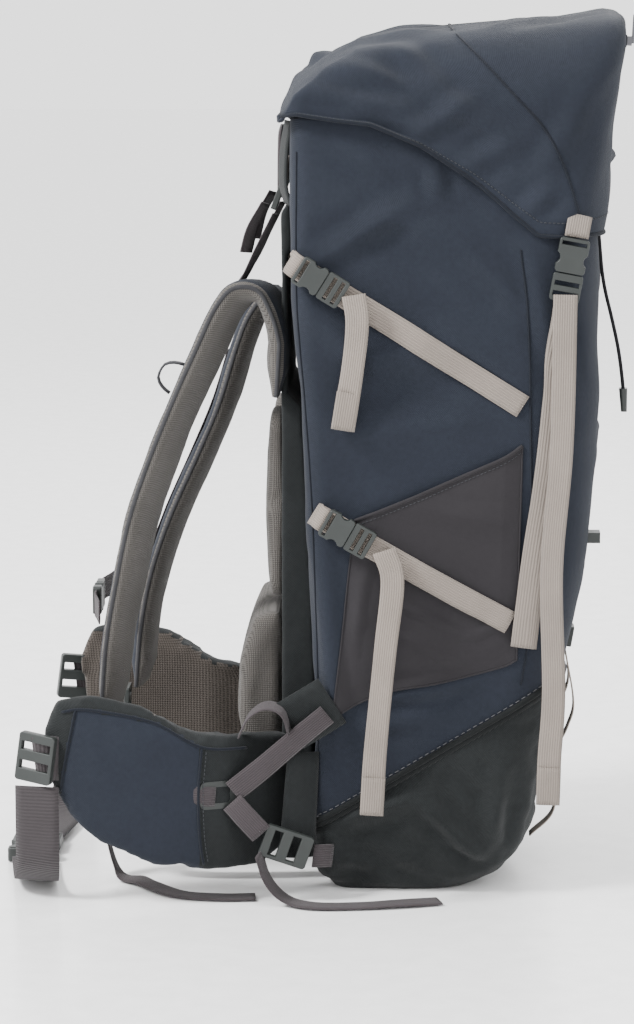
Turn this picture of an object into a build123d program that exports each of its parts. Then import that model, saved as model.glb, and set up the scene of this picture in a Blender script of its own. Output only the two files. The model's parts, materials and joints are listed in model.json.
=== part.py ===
from build123d import *
import math
import os

os.makedirs("parts", exist_ok=True)

# A framed hiking backpack, in millimetres. +X is the pack's front, away from the wearer's back,
# +Z is up, -Y is the wearer's left. The origin is the middle of the flat face the pack stands on.

# ---- Driving dimensions ----
WALL = 4                 # bag fabric with its lining
HALF_WIDTH = 150         # half of the bag's widest part
RIM = 655                # height of the bag's mouth
FRONT_CORNER = 46
BACK_CORNER = 18
WEB = 20                 # compression and lid webbing
WEB_THICK = 1.6
HIP_WEB = 38             # hip belt webbing
HIP_WEB_THICK = 2
AIR = 0.3                # clear gap between neighbouring soft pieces

# Bag outline: height, back face, front face, half width
BAG_SECTIONS = [
    (0, -62, 62, 104), (14, -76, 86, 118), (40, -80, 105, 128), (90, -80, 116, 135),
    (180, -78, 130, 142), (260, -80, 148, 146), (340, -84, 158, 149), (430, -90, 162, HALF_WIDTH),
    (520, -97, 162, HALF_WIDTH), (560, -98, 160, 149), (600, -99, 154, 148), (RIM, -98, 149, 145),
]
# Where the base compartment's flap meets the upper bag: a plane sloping up to the front
FLAP_BACK = Vector(-68, 0, 71)
FLAP_FRONT = Vector(106, 0, 178)
FLAP_TILT = math.degrees(math.atan2(FLAP_FRONT.Z - FLAP_BACK.Z, FLAP_FRONT.X - FLAP_BACK.X))
FLAP_PLANE = Plane(FLAP_BACK, x_dir=(FLAP_FRONT - FLAP_BACK).normalized(),
                   z_dir=Vector(0, 0, 1).rotate(Axis.Y, -FLAP_TILT))

PANEL_BACK = -107        # rear face of the back panel
PANEL_HALF = 94
LID_HINGE = (PANEL_BACK, 668)
LID_HALF = 155
LID_FRONT = 184
LID_WALL = 3.5

FIN_CENTRE = (-236.4, 32.5)   # centre of the hip fin's curve in plan
FIN_RADIUS = 193
FIN_THICK = 18

LEFT = Plane.XZ               # the plane the left side is mirrored about


def save(builder, name):
    """Label a finished sub-part and write it."""
    builder.part.label = name
    export_step(builder.part, f"parts/{name}.step")


def save_pair(shape, name):
    """Write a left-hand piece and its mirror image as two sub-parts."""
    for side in ("left", "right"):
        with BuildPart() as piece:
            if side == "left":
                add(shape)
            else:
                mirror(shape, about=LEFT)
        save(piece, f"{name}_{side}")


def bag_form(grow=0):
    """The bag's outer form, grown or shrunk all round."""
    with BuildPart() as form:
        for height, back, front, half_width in BAG_SECTIONS:
            with BuildSketch(Plane.XY.offset(height)) as section:
                with Locations(((back + front) / 2, 0)):
                    Rectangle(front - back + 2 * grow, 2 * (half_width + grow))
                corners = section.vertices().group_by(Axis.X)
                fillet(corners[-1], FRONT_CORNER + grow)
                fillet(corners[0], BACK_CORNER + grow)
        loft(ruled=True)
    return form.part


def side_prism(points, near=100, far=185):
    """A block with this XZ outline, through the bag's left side."""
    with BuildPart() as prism:
        with BuildSketch(Plane.XZ.offset(near)):
            with BuildLine():
                Polyline(*points, close=True)
            make_face()
        extrude(amount=far - near)
    return prism.part


def band(points, width):
    """The outline of a strap along an XZ line."""
    with BuildSketch() as outline:
        with BuildLine():
            Polyline(*points)
        trace(line_width=width)
    return outline.sketch


def skin_strap(points, width, inner, outer):
    """Webbing on the bag's left side, between two distances off its surface."""
    with BuildPart() as strap:
        with BuildSketch(Plane.XZ.offset(100)):
            add(band(points, width))
        extrude(amount=85)
        add(bag_form(outer), mode=Mode.INTERSECT)
        add(bag_form(inner), mode=Mode.SUBTRACT)
    return strap.part


def ribbon(plane, points, thickness, depth, bend=8, both=True):
    """A strap whose line lies in a plane: thickness in the plane, depth across it."""
    with BuildPart() as strip:
        with BuildSketch(plane):
            with BuildLine():
                FilletPolyline(*points, radius=bend)
            trace(line_width=thickness)
        extrude(amount=depth / 2 if both else depth, both=both)
    return strip.part


def run_plane(start, toward, facing, ahead=0):
    """A plane whose X runs from one point toward another, facing roughly one way."""
    along = (Vector(*toward) - Vector(*start)).normalized()
    face = along.cross(Vector(*facing).cross(along)).normalized()
    return Plane(Vector(*start) + along * ahead, x_dir=along, z_dir=face)


def flat_strap(start, end, facing, width=WEB, thickness=WEB_THICK):
    """A straight piece of webbing from one point to another."""
    length = (Vector(*end) - Vector(*start)).length
    with BuildPart() as strap:
        with Locations(run_plane(start, end, facing)):
            Box(length, width, thickness, align=(Align.MIN, Align.CENTER, Align.MIN))
    return strap.part


# ---- Buckle and lock patterns: X along the webbing, Z out of its face ----

def clip_socket(web, length, thick):
    """The hollow half of a side-release clip, its mouth at X = length."""
    width = web + 5
    notch = 0.27 * web
    with BuildPart() as socket:
        with BuildSketch():
            with Locations((length / 2, 0)):
                RectangleRounded(length, width, 3)
            with Locations((0.6 * length, width / 2 + notch / 2), (0.6 * length, -width / 2 - notch / 2)):
                Circle(notch, mode=Mode.SUBTRACT)
            with Locations((4.4, 0)):
                Rectangle(3, web + 0.6, mode=Mode.SUBTRACT)
        extrude(amount=thick)
        outer = socket.edges().filter_by(Plane.XY).group_by(Axis.Z)
        fillet(outer[0] + outer[-1], 0.9)
        with BuildSketch(Plane.YZ.offset(length)):
            with Locations((0, thick / 2)):
                Rectangle(web, 0.56 * thick)
        extrude(amount=8.5 - length, mode=Mode.SUBTRACT)
    return socket.part


def clip_plug(web, length, thick, reach):
    """The pronged half, with two ladder slots. Its prongs reach into the socket below X = 0."""
    width = web + 5
    low = 0.1 * thick
    slot = length / 6
    with BuildPart() as plug:
        with BuildSketch(Plane.XY.offset(low)):
            with Locations((length / 2, 0)):
                RectangleRounded(length, width, 2.5)
            with Locations((0.36 * length, 0), (0.74 * length, 0)):
                Rectangle(slot, web + 0.4, mode=Mode.SUBTRACT)
        extrude(amount=thick - 2 * low)
        outer = plug.edges().filter_by(Plane.XY).group_by(Axis.Z)
        fillet(outer[0] + outer[-1], 0.7)
        if reach:
            with BuildSketch(Plane.XY.offset(0.28 * thick)):
                with Locations((-reach / 2 + 1, web / 2 - 2.6), (-reach / 2 + 1, 2.6 - web / 2)):
                    RectangleRounded(reach + 2, 3.6, 1.2)
                with Locations((-reach / 3 + 1, 0)):
                    RectangleRounded(reach * 2 / 3 + 2, 3, 1.2)
            extrude(amount=0.44 * thick)
    return plug.part


def ladder_lock(web, length, thick):
    """A strap adjuster with two slots."""
    with BuildPart() as lock:
        with BuildSketch():
            with Locations((length / 2, 0)):
                RectangleRounded(length, web + 7, 3)
            with Locations((0.27 * length, 0), (0.66 * length, 0)):
                Rectangle(0.17 * length, web + 0.4, mode=Mode.SUBTRACT)
        extrude(amount=thick)
        outer = lock.edges().filter_by(Plane.XY).group_by(Axis.Z)
        fillet(outer[0] + outer[-1], 0.9)
    return lock.part


# ---- The bag ----
outer_form = bag_form()
inner_form = bag_form(-WALL)

with BuildPart() as main_bag:
    add(outer_form)
    split(bisect_by=FLAP_PLANE, keep=Keep.TOP)
    add(inner_form, mode=Mode.SUBTRACT)
save(main_bag, "main_bag")

with BuildPart() as base_room:
    add(inner_form)
    split(bisect_by=Plane.XY.offset(WALL), keep=Keep.TOP)

with BuildPart() as base_compartment:
    add(outer_form)
    split(bisect_by=FLAP_PLANE, keep=Keep.BOTTOM)
    add(base_room.part, mode=Mode.SUBTRACT)
save(base_compartment, "base_compartment")

DIVIDER_THICK = 3
with BuildPart() as compartment_divider:
    add(inner_form)
    split(bisect_by=FLAP_PLANE.offset(AIR), keep=Keep.TOP)
    split(bisect_by=FLAP_PLANE.offset(AIR + DIVIDER_THICK), keep=Keep.BOTTOM)
    # an all-round slit keeps the divider off the bag's wall
    add(bag_form(-WALL - AIR), mode=Mode.INTERSECT)
save(compartment_divider, "compartment_divider")

COLLAR_TOP = 664
COLLAR_BOTTOM = 590
COLLAR_X = 24
COLLAR_LONG = 222
COLLAR_WIDE = 268
with BuildPart() as snow_collar:
    with BuildSketch(Plane.XY.offset(COLLAR_BOTTOM)) as collar_ring:
        with Locations((COLLAR_X, 0)):
            RectangleRounded(COLLAR_LONG, COLLAR_WIDE, 36)
        offset(amount=-2.5, mode=Mode.SUBTRACT)
    extrude(amount=COLLAR_TOP - COLLAR_BOTTOM)
save(snow_collar, "snow_collar")

# Stretch pockets, one each side, between the base flap and the lower compression strap
POCKET_OUTLINE = [(-43, 332), (20, 358), (88, 388), (96, 398), (92, 212), (29, 191), (-21, 181), (-62, 160)]
with BuildPart() as side_pocket:
    add(side_prism(POCKET_OUTLINE))
    add(bag_form(4), mode=Mode.INTERSECT)
    add(bag_form(AIR), mode=Mode.SUBTRACT)
save_pair(side_pocket.part, "side_pocket")

# Zip round the front of the base compartment, and its slider
ZIP_HALF = 88
ZIP_WIDTH = 9
BASE_ZIP_Z = 186
with BuildPart() as base_zip:
    with BuildSketch(Plane.YZ.offset(110)):
        with Locations((0, BASE_ZIP_Z)):
            Rectangle(2 * ZIP_HALF, ZIP_WIDTH)
    extrude(amount=40)
    add(bag_form(1.6), mode=Mode.INTERSECT)
    add(bag_form(AIR), mode=Mode.SUBTRACT)
save(base_zip, "base_zip")


def zip_slider(pull_drop):
    """A zip slider and its pull: X out of the zip, Y along it."""
    with BuildPart() as slider:
        with Locations((2, 0, 0)):
            Box(4, 11, 8)
        fillet(slider.edges().filter_by(Axis.X), 1.5)
        with Locations((5, 0, pull_drop / 2)):
            Box(2, 5, abs(pull_drop) + 4)
    return slider.part


BASE_ZIP_FRONT = 134.8
BASE_SLIDER_Y = -42       # the slider runs between the two front gear loops
with BuildPart() as base_zip_slider:
    with Locations(Plane((BASE_ZIP_FRONT, BASE_SLIDER_Y, BASE_ZIP_Z), x_dir=(1, 0, -0.22), z_dir=(0.22, 0, 1))):
        add(zip_slider(-12))
save(base_zip_slider, "base_zip_slider")

# ---- Back: panel, frame sheet, stays, pads ----
PANEL_OUTLINE = [
    (PANEL_BACK, 60), (PANEL_BACK, 586), (-96, 600), (-96, 560), (-102, 550), (-102, 432), (-84, 416), (-70, 60),
]
SHEET_TOP = 545
SHEET_MIDDLE = 310
SHEET_REACH = 2 * (SHEET_TOP - SHEET_MIDDLE)
STAY_Y = 46
STAY_PLACES = [(-105.2, -STAY_Y, SHEET_MIDDLE), (-105.2, STAY_Y, SHEET_MIDDLE)]
with BuildPart() as panel_slots:
    with Locations((-103.4, 0, SHEET_MIDDLE)):
        Box(1.6, 165, SHEET_REACH)
    with Locations(*STAY_PLACES):
        Box(2, 22, SHEET_REACH)

with BuildPart() as back_panel:
    with BuildSketch(Plane.XZ):
        with BuildLine():
            Polyline(*PANEL_OUTLINE, close=True)
        make_face()
    extrude(amount=PANEL_HALF, both=True)
    add(bag_form(AIR), mode=Mode.SUBTRACT)
    add(panel_slots.part, mode=Mode.SUBTRACT)
save(back_panel, "back_panel")

with BuildPart() as frame_sheet:
    with BuildSketch(Plane.YZ.offset(-104)):
        with Locations((0, SHEET_MIDDLE)):
            RectangleRounded(164, SHEET_REACH - 2, 18)
    extrude(amount=1.2)
save(frame_sheet, "frame_sheet")

with BuildPart() as frame_stays:
    with Locations(*STAY_PLACES):
        Box(1.6, 20, SHEET_REACH - 4)
save(frame_stays, "frame_stays")

PAD_THICK = 11
with BuildPart() as back_pads:
    with BuildSketch(Plane.YZ.offset(PANEL_BACK - AIR)):
        with Locations((0, 460)):
            RectangleRounded(60, 70, 16)
        with Locations((-46, 332), (46, 332)):
            RectangleRounded(64, 164, 18)
    extrude(amount=-PAD_THICK)
    fillet(back_pads.faces().group_by(Axis.X)[0].edges(), 5)
save(back_pads, "back_pads")

LUMBAR_OUTLINE = [(-107.3, 96), (-134, 104), (-143, 150), (-141, 200), (-130, 236), (-107.3, 246)]
with BuildPart() as lumbar_pad:
    with BuildSketch(Plane.XZ):
        with BuildLine():
            Polyline(*LUMBAR_OUTLINE, close=True)
        make_face()
    extrude(amount=88, both=True)
    fillet(lumbar_pad.faces().group_by(Axis.X)[0].edges(), 8)
save(lumbar_pad, "lumbar_pad")

# ---- Shoulder straps: each a padded band whose outer edge leans away from the back ----
STRAP_THICK = 16
STRAP_WIDTH = 62
STRAP_INNER_Y = 44
LEAN = (-0.26, 0.15)      # shift of the strap's outer edge, per unit of width
# Each strap rises from its root on the back panel, arches over and runs down to its lock
STRAP_ROOT = (-114.5, 428)
NEAR_LINE = [
    STRAP_ROOT, (-114.5, 517), (-153, 485), (-172, 455), (-191, 414), (-213, 362), (-229, 314),
    (-239, 262), (-247, 209), (-251, 150),
]
FAR_LINE = [
    STRAP_ROOT, (-114.5, 514), (-146, 474), (-172, 404), (-195, 354), (-219, 300), (-235, 247),
    (-243, 195), (-246, 145),
]


def shoulder_strap(line, side):
    """A shoulder strap, from its root on the back panel down to its end lock."""
    inner = Plane.XZ.offset(STRAP_INNER_Y) if side < 0 else Plane.XZ.offset(-STRAP_INNER_Y)
    with BuildPart() as strap:
        with BuildSketch(inner):
            with BuildLine():
                FilletPolyline(*line, radius=14)
            trace(line_width=STRAP_THICK)
        extrude(amount=STRAP_WIDTH, dir=(LEAN[0], side, LEAN[1]))
        with Locations((-60, 0, 400)):
            Box(2 * (-60 - PANEL_BACK + AIR), 400, 500, mode=Mode.SUBTRACT)
    return strap


save(shoulder_strap(NEAR_LINE, -1), "shoulder_strap_left")
save(shoulder_strap(FAR_LINE, 1), "shoulder_strap_right")

# Small loops on the front of the shoulder straps
with BuildPart() as strap_loops:
    for y, x, z in ((-78, -201, 444), (78, -199, 400)):
        with Locations(Plane((x, y, z), x_dir=(0.45, 0, 0.89), z_dir=(0, -1, 0))):
            with Locations((0, 9)):
                add(ribbon(Plane.XY, [(-14, -6), (-10, 5), (10, 5), (14, -6)], 2, 10, 4))
save(strap_loops, "strap_loops")

# ---- Harness webbing, locks and tails ----
LOAD_LOCK = (-103, 70, 611)
LOAD_END = (-141, 72, 526)
LOWER_LOCK = (-253, 74, 144)
with BuildPart() as harness_webbing:
    for side in (-1, 1):
        add(flat_strap((-112.5, side * LOAD_LOCK[1], 583), (LOAD_END[0], side * LOAD_END[1], LOAD_END[2]),
                       (-1, 0, 0)))
        add(flat_strap((-101.5, side * LOAD_LOCK[1], 630), (-102.5, side * LOAD_LOCK[1], 613), (-1, 0, 0)))
        add(ribbon(Plane.XZ.offset(-side * LOWER_LOCK[1]),
                   [(-254, 112), (-250, 60), (-205, 28), (-150, 22), (-84, 44)], WEB_THICK, WEB, 18))
save(harness_webbing, "harness_webbing")

lock_pattern = ladder_lock(WEB, 26, 5)
STABILISER_LOCK_LENGTH = 42
stabiliser_lock_pattern = ladder_lock(WEB + 2, STABILISER_LOCK_LENGTH, 6)
STABILISER_LOCK = (-121, -151, 57)
STABILISER_ANCHOR = (-78, -148, 42)
with BuildPart() as harness_locks:
    with Locations(run_plane((LOAD_LOCK[0], -LOAD_LOCK[1], LOAD_LOCK[2]), (-112, -LOAD_LOCK[1], 587), (-1, 0, 0))):
        add(lock_pattern)
    with Locations(run_plane((-253.4, -LOWER_LOCK[1], 140), (-254, -LOWER_LOCK[1], 112), (-1, 0, 0))):
        add(lock_pattern)
    with Locations(run_plane(STABILISER_LOCK, STABILISER_ANCHOR, (0, -1, 0))):
        add(stabiliser_lock_pattern)
    mirror(about=LEFT)
save(harness_locks, "harness_locks")

# Loose ends: load lifter tails, shoulder strap tails and stabiliser tails lying on the floor
FLOOR_GAP = 0.8
with BuildPart() as harness_tails:
    add(flat_strap((-121, -LOAD_LOCK[1], 592), (-138, -LOAD_LOCK[1], 550), (-1, 0, 0)))
    add(ribbon(Plane.XZ.offset(LOWER_LOCK[1]), [(-261, 116), (-264, 60), (-250, 3), (-214, 1.6)], WEB_THICK, WEB, 14))
    with BuildSketch(Plane.XY.offset(FLOOR_GAP)):
        with BuildLine():
            FilletPolyline((-212, -74), (-200, -112), (-180, -132), (-128, -140), radius=16)
        trace(line_width=WEB)
        with BuildLine():
            FilletPolyline((-104, -150), (-84, -168), (-40, -166), (30, -148), radius=14)
        trace(line_width=WEB)
    extrude(amount=WEB_THICK)
    add(flat_strap((-124, -161, 46), (-108, -155, 2.6), (0, -1, 0)))
    mirror(about=LEFT)
save(harness_tails, "harness_tails")

# Stabiliser straps from the bag's side to the ring on each hip fin
RING_X = -160
with BuildPart() as stabiliser_webbing:
    add(flat_strap((-147, -158, 100), (-64, -146, 166), (0, -1, 0)))
    add(flat_strap((-147, -158.5, 88), (-125, -159.5, 66), (0, -1, 0)))
    add(flat_strap((-76, -149.5, 41), (-66, -134, 38), (0, -1, 0)))
    mirror(about=LEFT)
save(stabiliser_webbing, "stabiliser_webbing")

# ---- Haul loop at the top of the back ----
with BuildPart() as haul_loop:
    with BuildSketch(Plane.YZ.offset(-108.5)):
        with BuildLine():
            FilletPolyline((-42, 600), (-34, 645), (34, 645), (42, 600), radius=16)
        trace(line_width=WEB)
    extrude(amount=-3)
save(haul_loop, "haul_loop")

# ---- Hip fins ----
FIN_OUTLINE = [
    (-98, 140), (-139, 146), (-181, 154), (-224, 176), (-266, 184), (-296, 177), (-307, 150), (-302, 108),
    (-284, 76), (-259, 54), (-216, 35), (-174, 27), (-123, 29), (-98, 48),
]
with BuildPart() as hip_fin:
    with BuildSketch(Plane.XY.offset(20)):
        with BuildLine():
            CenterArc(FIN_CENTRE, FIN_RADIUS, -113, 66)
        trace(line_width=FIN_THICK)
    extrude(amount=170)
    add(side_prism(FIN_OUTLINE, 80, 190), mode=Mode.INTERSECT)
save_pair(hip_fin.part, "hip_fin")

with BuildPart() as hip_lock:
    with Locations(run_plane((-309, -160.5, 149), (-314, -160.5, 112), (-0.35, -1, 0))):
        add(ladder_lock(26, 42, 7))
save_pair(hip_lock.part, "hip_lock")

# Hip webbing hangs in a slack U down to the closed centre buckle
HIP_DRIFT = 0.15          # how far the U swings outwards, per unit across the pack
hip_plane = Plane((-312, -168, 0), x_dir=(-HIP_DRIFT, 1, 0), z_dir=(1, HIP_DRIFT, 0))
BUCKLE_HALF = 32
HIP_REACH = 168 - BUCKLE_HALF - 2.5
with BuildPart() as hip_webbing:
    add(ribbon(hip_plane, [(2, 104), (6, 50), (44, 14), (100, 6), (HIP_REACH, 7)], HIP_WEB_THICK, HIP_WEB, 22))
save_pair(hip_webbing.part, "hip_webbing")

HIP_BUCKLE_X = -334
HIP_BUCKLE_THICK = 12
with BuildPart() as hip_buckle_socket:
    with Locations(run_plane((HIP_BUCKLE_X, -BUCKLE_HALF, 1), (HIP_BUCKLE_X, 0, 1), (0, 0, 1))):
        add(clip_socket(HIP_WEB, BUCKLE_HALF + 2, HIP_BUCKLE_THICK))
save(hip_buckle_socket, "hip_buckle_socket")

with BuildPart() as hip_buckle_plug:
    with Locations(run_plane((HIP_BUCKLE_X, 2.4, 1), (HIP_BUCKLE_X, 32, 1), (0, 0, 1))):
        add(clip_plug(HIP_WEB, BUCKLE_HALF - 2.4, HIP_BUCKLE_THICK, 0))
save(hip_buckle_plug, "hip_buckle_plug")

with BuildPart() as stabiliser_ring:
    with BuildSketch(Plane((RING_X, -155, 96), x_dir=(0.926, 0.378, 0), z_dir=(0.378, -0.926, 0))):
        RectangleRounded(32, 24, 5)
        RectangleRounded(22, 14, 3, mode=Mode.SUBTRACT)
    extrude(amount=4)
save_pair(stabiliser_ring.part, "stabiliser_ring")

# ---- Compression straps with their side-release clips ----
CLIP_SOCKET = 24
CLIP_PLUG = 20
CLIP_THICK = 7.5
CLIP_REACH = 13
CLIPS = {
    "upper": {"start": (-99, 550), "end": (97, 429), "lift": AIR, "base": 152.6,
              "tail": [(-44, 523), (-41, 500), (-45, 460), (-53, 410)]},
    "lower": {"start": (-77, 338), "end": (86, 246), "lift": 4 + AIR, "base": 155.8,
              "tail": [(-18, 309), (-11, 283), (-17, 223), (-25, 137), (-28, 80)]},
}
CLIP_BACK = 10            # distance from a strap's rear end to its clip
socket_pattern = clip_socket(WEB, CLIP_SOCKET, CLIP_THICK)
plug_pattern = clip_plug(WEB, CLIP_PLUG, CLIP_THICK, CLIP_REACH)


def clip_place(clip, ahead):
    """The plane of a side clip, a distance along its strap."""
    start = (clip["start"][0], -clip["base"], clip["start"][1])
    end = (clip["end"][0], -clip["base"], clip["end"][1])
    return run_plane(start, end, (0, -1, 0), ahead)


with BuildPart() as compression_webbing:
    for clip in CLIPS.values():
        add(skin_strap([clip["start"], clip["end"]], WEB, clip["lift"], clip["lift"] + WEB_THICK))
    mirror(about=LEFT)
save(compression_webbing, "compression_webbing")

with BuildPart() as side_clip_sockets:
    for clip in CLIPS.values():
        with Locations(clip_place(clip, CLIP_BACK)):
            add(socket_pattern)
    mirror(about=LEFT)
save(side_clip_sockets, "side_clip_sockets")

with BuildPart() as side_clip_anchors:
    for clip in CLIPS.values():
        with Locations(clip_place(clip, 0)):
            with Locations((0, 0, CLIP_THICK / 2)):
                Box(CLIP_BACK - AIR, WEB, WEB_THICK, align=(Align.MIN, Align.CENTER, Align.CENTER))
    mirror(about=LEFT)
save(side_clip_anchors, "side_clip_anchors")

for level, clip in CLIPS.items():
    with BuildPart() as side_clip_plug:
        with Locations(clip_place(clip, CLIP_BACK + CLIP_SOCKET + AIR)):
            add(plug_pattern)
    save_pair(side_clip_plug.part, f"side_clip_{level}")
    with BuildPart() as side_clip_tail:
        with BuildSketch(Plane.XZ.offset(clip["base"] + CLIP_THICK + AIR)):
            add(band(clip["tail"], WEB))
        extrude(amount=WEB_THICK)
    save_pair(side_clip_tail.part, f"side_tail_{level}")

# ---- Lid straps: the webbing and plug stay with the bag, the socket rides on the lid ----
LID_CLIP_TOP = (139, -152.6, 570)
LID_CLIP_DOWN = (129, -152.6, 516)
LID_SOCKET = 29
LID_PLUG = 23
LID_CLIP_GAP = 0.8
with BuildPart() as lid_strap_webbing:
    add(skin_strap([(127, 512), (117, 389), (105, 295), (99, 221)], WEB, 4 + 2 * AIR, 4 + 2 * AIR + WEB_THICK))
    mirror(about=LEFT)
save(lid_strap_webbing, "lid_strap_webbing")

with BuildPart() as lid_clip_plugs:
    with Locations(run_plane(LID_CLIP_TOP, LID_CLIP_DOWN, (0, -1, 0), LID_SOCKET + LID_CLIP_GAP)):
        add(clip_plug(WEB, LID_PLUG, 8, 0))
    mirror(about=LEFT)
save(lid_clip_plugs, "lid_clip_plugs")

with BuildPart() as lid_strap_tails:
    with BuildSketch(Plane.XZ.offset(161.2)):
        add(band([(131, 524), (129, 397), (122, 294), (125, 189), (122, 132), (119, 71)], WEB))
    extrude(amount=WEB_THICK)
    mirror(about=LEFT)
save(lid_strap_tails, "lid_strap_tails")

# ---- Lid ----
LID_PROFILE = [
    (-107, 670), (-95, 698), (-73, 715), (-43, 730), (-8, 738), (35, 741), (78, 745), (130, 747), (168, 753),
    (181, 752), (179, 711), (171.5, 651), (170, 599), (160, 571), (120, 573), (60, 610), (10, 643), (-39, 661),
    (-107, 668.5),
]
# The pocket inside the lid
LID_ROOM_PROFILE = [
    (-94, 672), (-84, 690), (-64, 708), (-6, 732), (80, 739), (174, 745), (174, 711), (166, 672),
]


def lid_form(profile, inset=0):
    """A block with a side profile and the lid's rounded corners, drawn in at the sides."""
    with BuildPart() as form:
        with BuildSketch(Plane.XZ):
            with BuildLine():
                Polyline(*profile, close=True)
            make_face()
        extrude(amount=LID_HALF - inset, both=True)
        with BuildSketch(Plane.XY.offset(560)) as plan:
            with Locations(((LID_FRONT + LID_HINGE[0]) / 2, 0)):
                Rectangle(LID_FRONT - LID_HINGE[0], 2 * LID_HALF)
            corners = plan.vertices().group_by(Axis.X)
            fillet(corners[-1], FRONT_CORNER)
            fillet(corners[0], BACK_CORNER)
            if inset:
                offset(amount=-inset, mode=Mode.REPLACE)
        extrude(amount=200, mode=Mode.INTERSECT)
        with BuildSketch(Plane.YZ.offset(-120)) as arch:
            with Locations((0, 656)):
                Rectangle(2 * LID_HALF, 200)
            fillet(arch.vertices().group_by(Axis.Y)[-1], 62)
            if inset:
                offset(amount=-inset, mode=Mode.REPLACE)
        extrude(amount=320, mode=Mode.INTERSECT)
    return form.part


LID_CEILING = 668
ZIP_SLOT_Z = 730
LID_MOUTH_FRONT = 165.5
MOUTH_HALF = LID_HALF - LID_WALL
MOUTH_LOW = 540
with BuildPart() as lid_shell:
    add(lid_form(LID_PROFILE))
    with BuildSketch(Plane.XY.offset(MOUTH_LOW)) as mouth:
        with Locations((LID_MOUTH_FRONT, 0)):
            Rectangle(LID_MOUTH_FRONT + 150, 2 * MOUTH_HALF, align=(Align.MAX, Align.CENTER))
        fillet(mouth.vertices().group_by(Axis.X)[-1], FRONT_CORNER - LID_WALL)
    extrude(amount=LID_CEILING - MOUTH_LOW, mode=Mode.SUBTRACT)
    add(lid_form(LID_ROOM_PROFILE, 5), mode=Mode.SUBTRACT)
    with Locations((182, 0, ZIP_SLOT_Z)):
        Box(20, 2 * 96, 3, mode=Mode.SUBTRACT)
save(lid_shell, "lid_shell")

LID_FACE = 180.3          # the lid's front face at the zip
with BuildPart() as lid_zip:
    with Locations(Plane((LID_FACE + 0.3, 0, ZIP_SLOT_Z), x_dir=(1, 0, -0.05), z_dir=(0.05, 0, 1))):
        Box(1.2, 2 * 100, 10, align=(Align.MIN, Align.CENTER, Align.CENTER))
save(lid_zip, "lid_zip")

with BuildPart() as lid_zip_slider:
    with Locations(Plane((LID_FACE + 1.9, -92, ZIP_SLOT_Z), x_dir=(1, 0, -0.05), z_dir=(0.05, 0, 1))):
        add(zip_slider(20))
save(lid_zip_slider, "lid_zip_slider")

with BuildPart() as lid_clip_sockets:
    with Locations(run_plane(LID_CLIP_TOP, LID_CLIP_DOWN, (0, -1, 0))):
        add(clip_socket(WEB, LID_SOCKET, 8))
    mirror(about=LEFT)
save(lid_clip_sockets, "lid_clip_sockets")

with BuildPart() as lid_clip_tabs:
    with BuildSketch(Plane.XZ.offset(156)):
        add(band([(144.5, 598), (139.8, 574)], WEB))
    extrude(amount=WEB_THICK)
    mirror(about=LEFT)
save(lid_clip_tabs, "lid_clip_tabs")

# ---- Collar drawcord with its lock under the lid, and the clip on its end ----
CORD = 3
CORD_Y = (-84, -90)
CORD_LINE = [(157, 634), (158, 602), (161.8, 562), (165, 528), (174, 494), (181, 462), (183.6, 437)]


def turn_radii(points):
    """The arc radius at each bend: tangent arcs that use 0.45 of the shorter run."""
    radii = []
    for before, here, after in zip(points, points[1:], points[2:]):
        first = Vector(*here) - Vector(*before)
        second = Vector(*after) - Vector(*here)
        half_turn = math.radians(first.get_angle(second)) / 2
        radii.append(0.45 * min(first.length, second.length) / math.tan(half_turn))
    return radii


for strand, y in zip(("left", "right"), CORD_Y):
    route = [(x, y, z) for x, z in CORD_LINE]
    with BuildPart() as drawcord:
        with BuildLine() as cord_path:
            FilletPolyline(*route, radius=turn_radii(route))
        with BuildSketch(Plane(route[0], z_dir=cord_path.line % 0)):
            Circle(CORD / 2)
        sweep()
    save(drawcord, f"drawcord_{strand}")

CORD_MID_Y = sum(CORD_Y) / 2
with BuildPart() as cord_end_clip:
    with BuildSketch(Plane.XY.offset(CORD_LINE[-1][1])):
        with Locations((CORD_LINE[-1][0], CORD_MID_Y)):
            RectangleRounded(7, 11, 3)
    with BuildSketch(Plane.XY.offset(CORD_LINE[-1][1] - 20)):
        with Locations((CORD_LINE[-1][0] + 1, CORD_MID_Y)):
            RectangleRounded(5, 7, 2)
    loft()
save(cord_end_clip, "cord_end_clip")

# The lock's barrel has a bore across it for the sprung button
LOCK_LOW = CORD_LINE[0][1]
LOCK_X = 157.4
with BuildPart() as cord_lock_body:
    with BuildSketch(Plane.XY.offset(LOCK_LOW)):
        with Locations((LOCK_X, CORD_MID_Y)):
            RectangleRounded(12, 18, 4)
    extrude(amount=20)
    with BuildSketch(Plane.XY.offset(LOCK_LOW + 8)):
        with Locations((LOCK_X, CORD_MID_Y)):
            Circle(4)
    extrude(amount=12, mode=Mode.SUBTRACT)
save(cord_lock_body, "cord_lock_body")

with BuildPart() as cord_lock_button:
    with BuildSketch(Plane.XY.offset(LOCK_LOW + 12)):
        with Locations((LOCK_X, CORD_MID_Y)):
            Circle(3.7)
    extrude(amount=12)
    fillet(cord_lock_button.faces().sort_by(Axis.Z)[-1].edges(), 1)
save(cord_lock_button, "cord_lock_button")

# ---- Front: gear loops and tool holders ----
FRONT_Y = 58
TAB_Y = 92                # inner edge of the small pull tabs on the front corners
TAB_Z = 311
with BuildPart() as front_gear_loops:
    add(ribbon(Plane.XZ.offset(FRONT_Y), [(138.5, 202), (138, 150), (133, 110), (127, 75), (108, 36)],
               WEB_THICK, 16, 10))
    mirror(about=LEFT)
save(front_gear_loops, "front_gear_loops")

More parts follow.
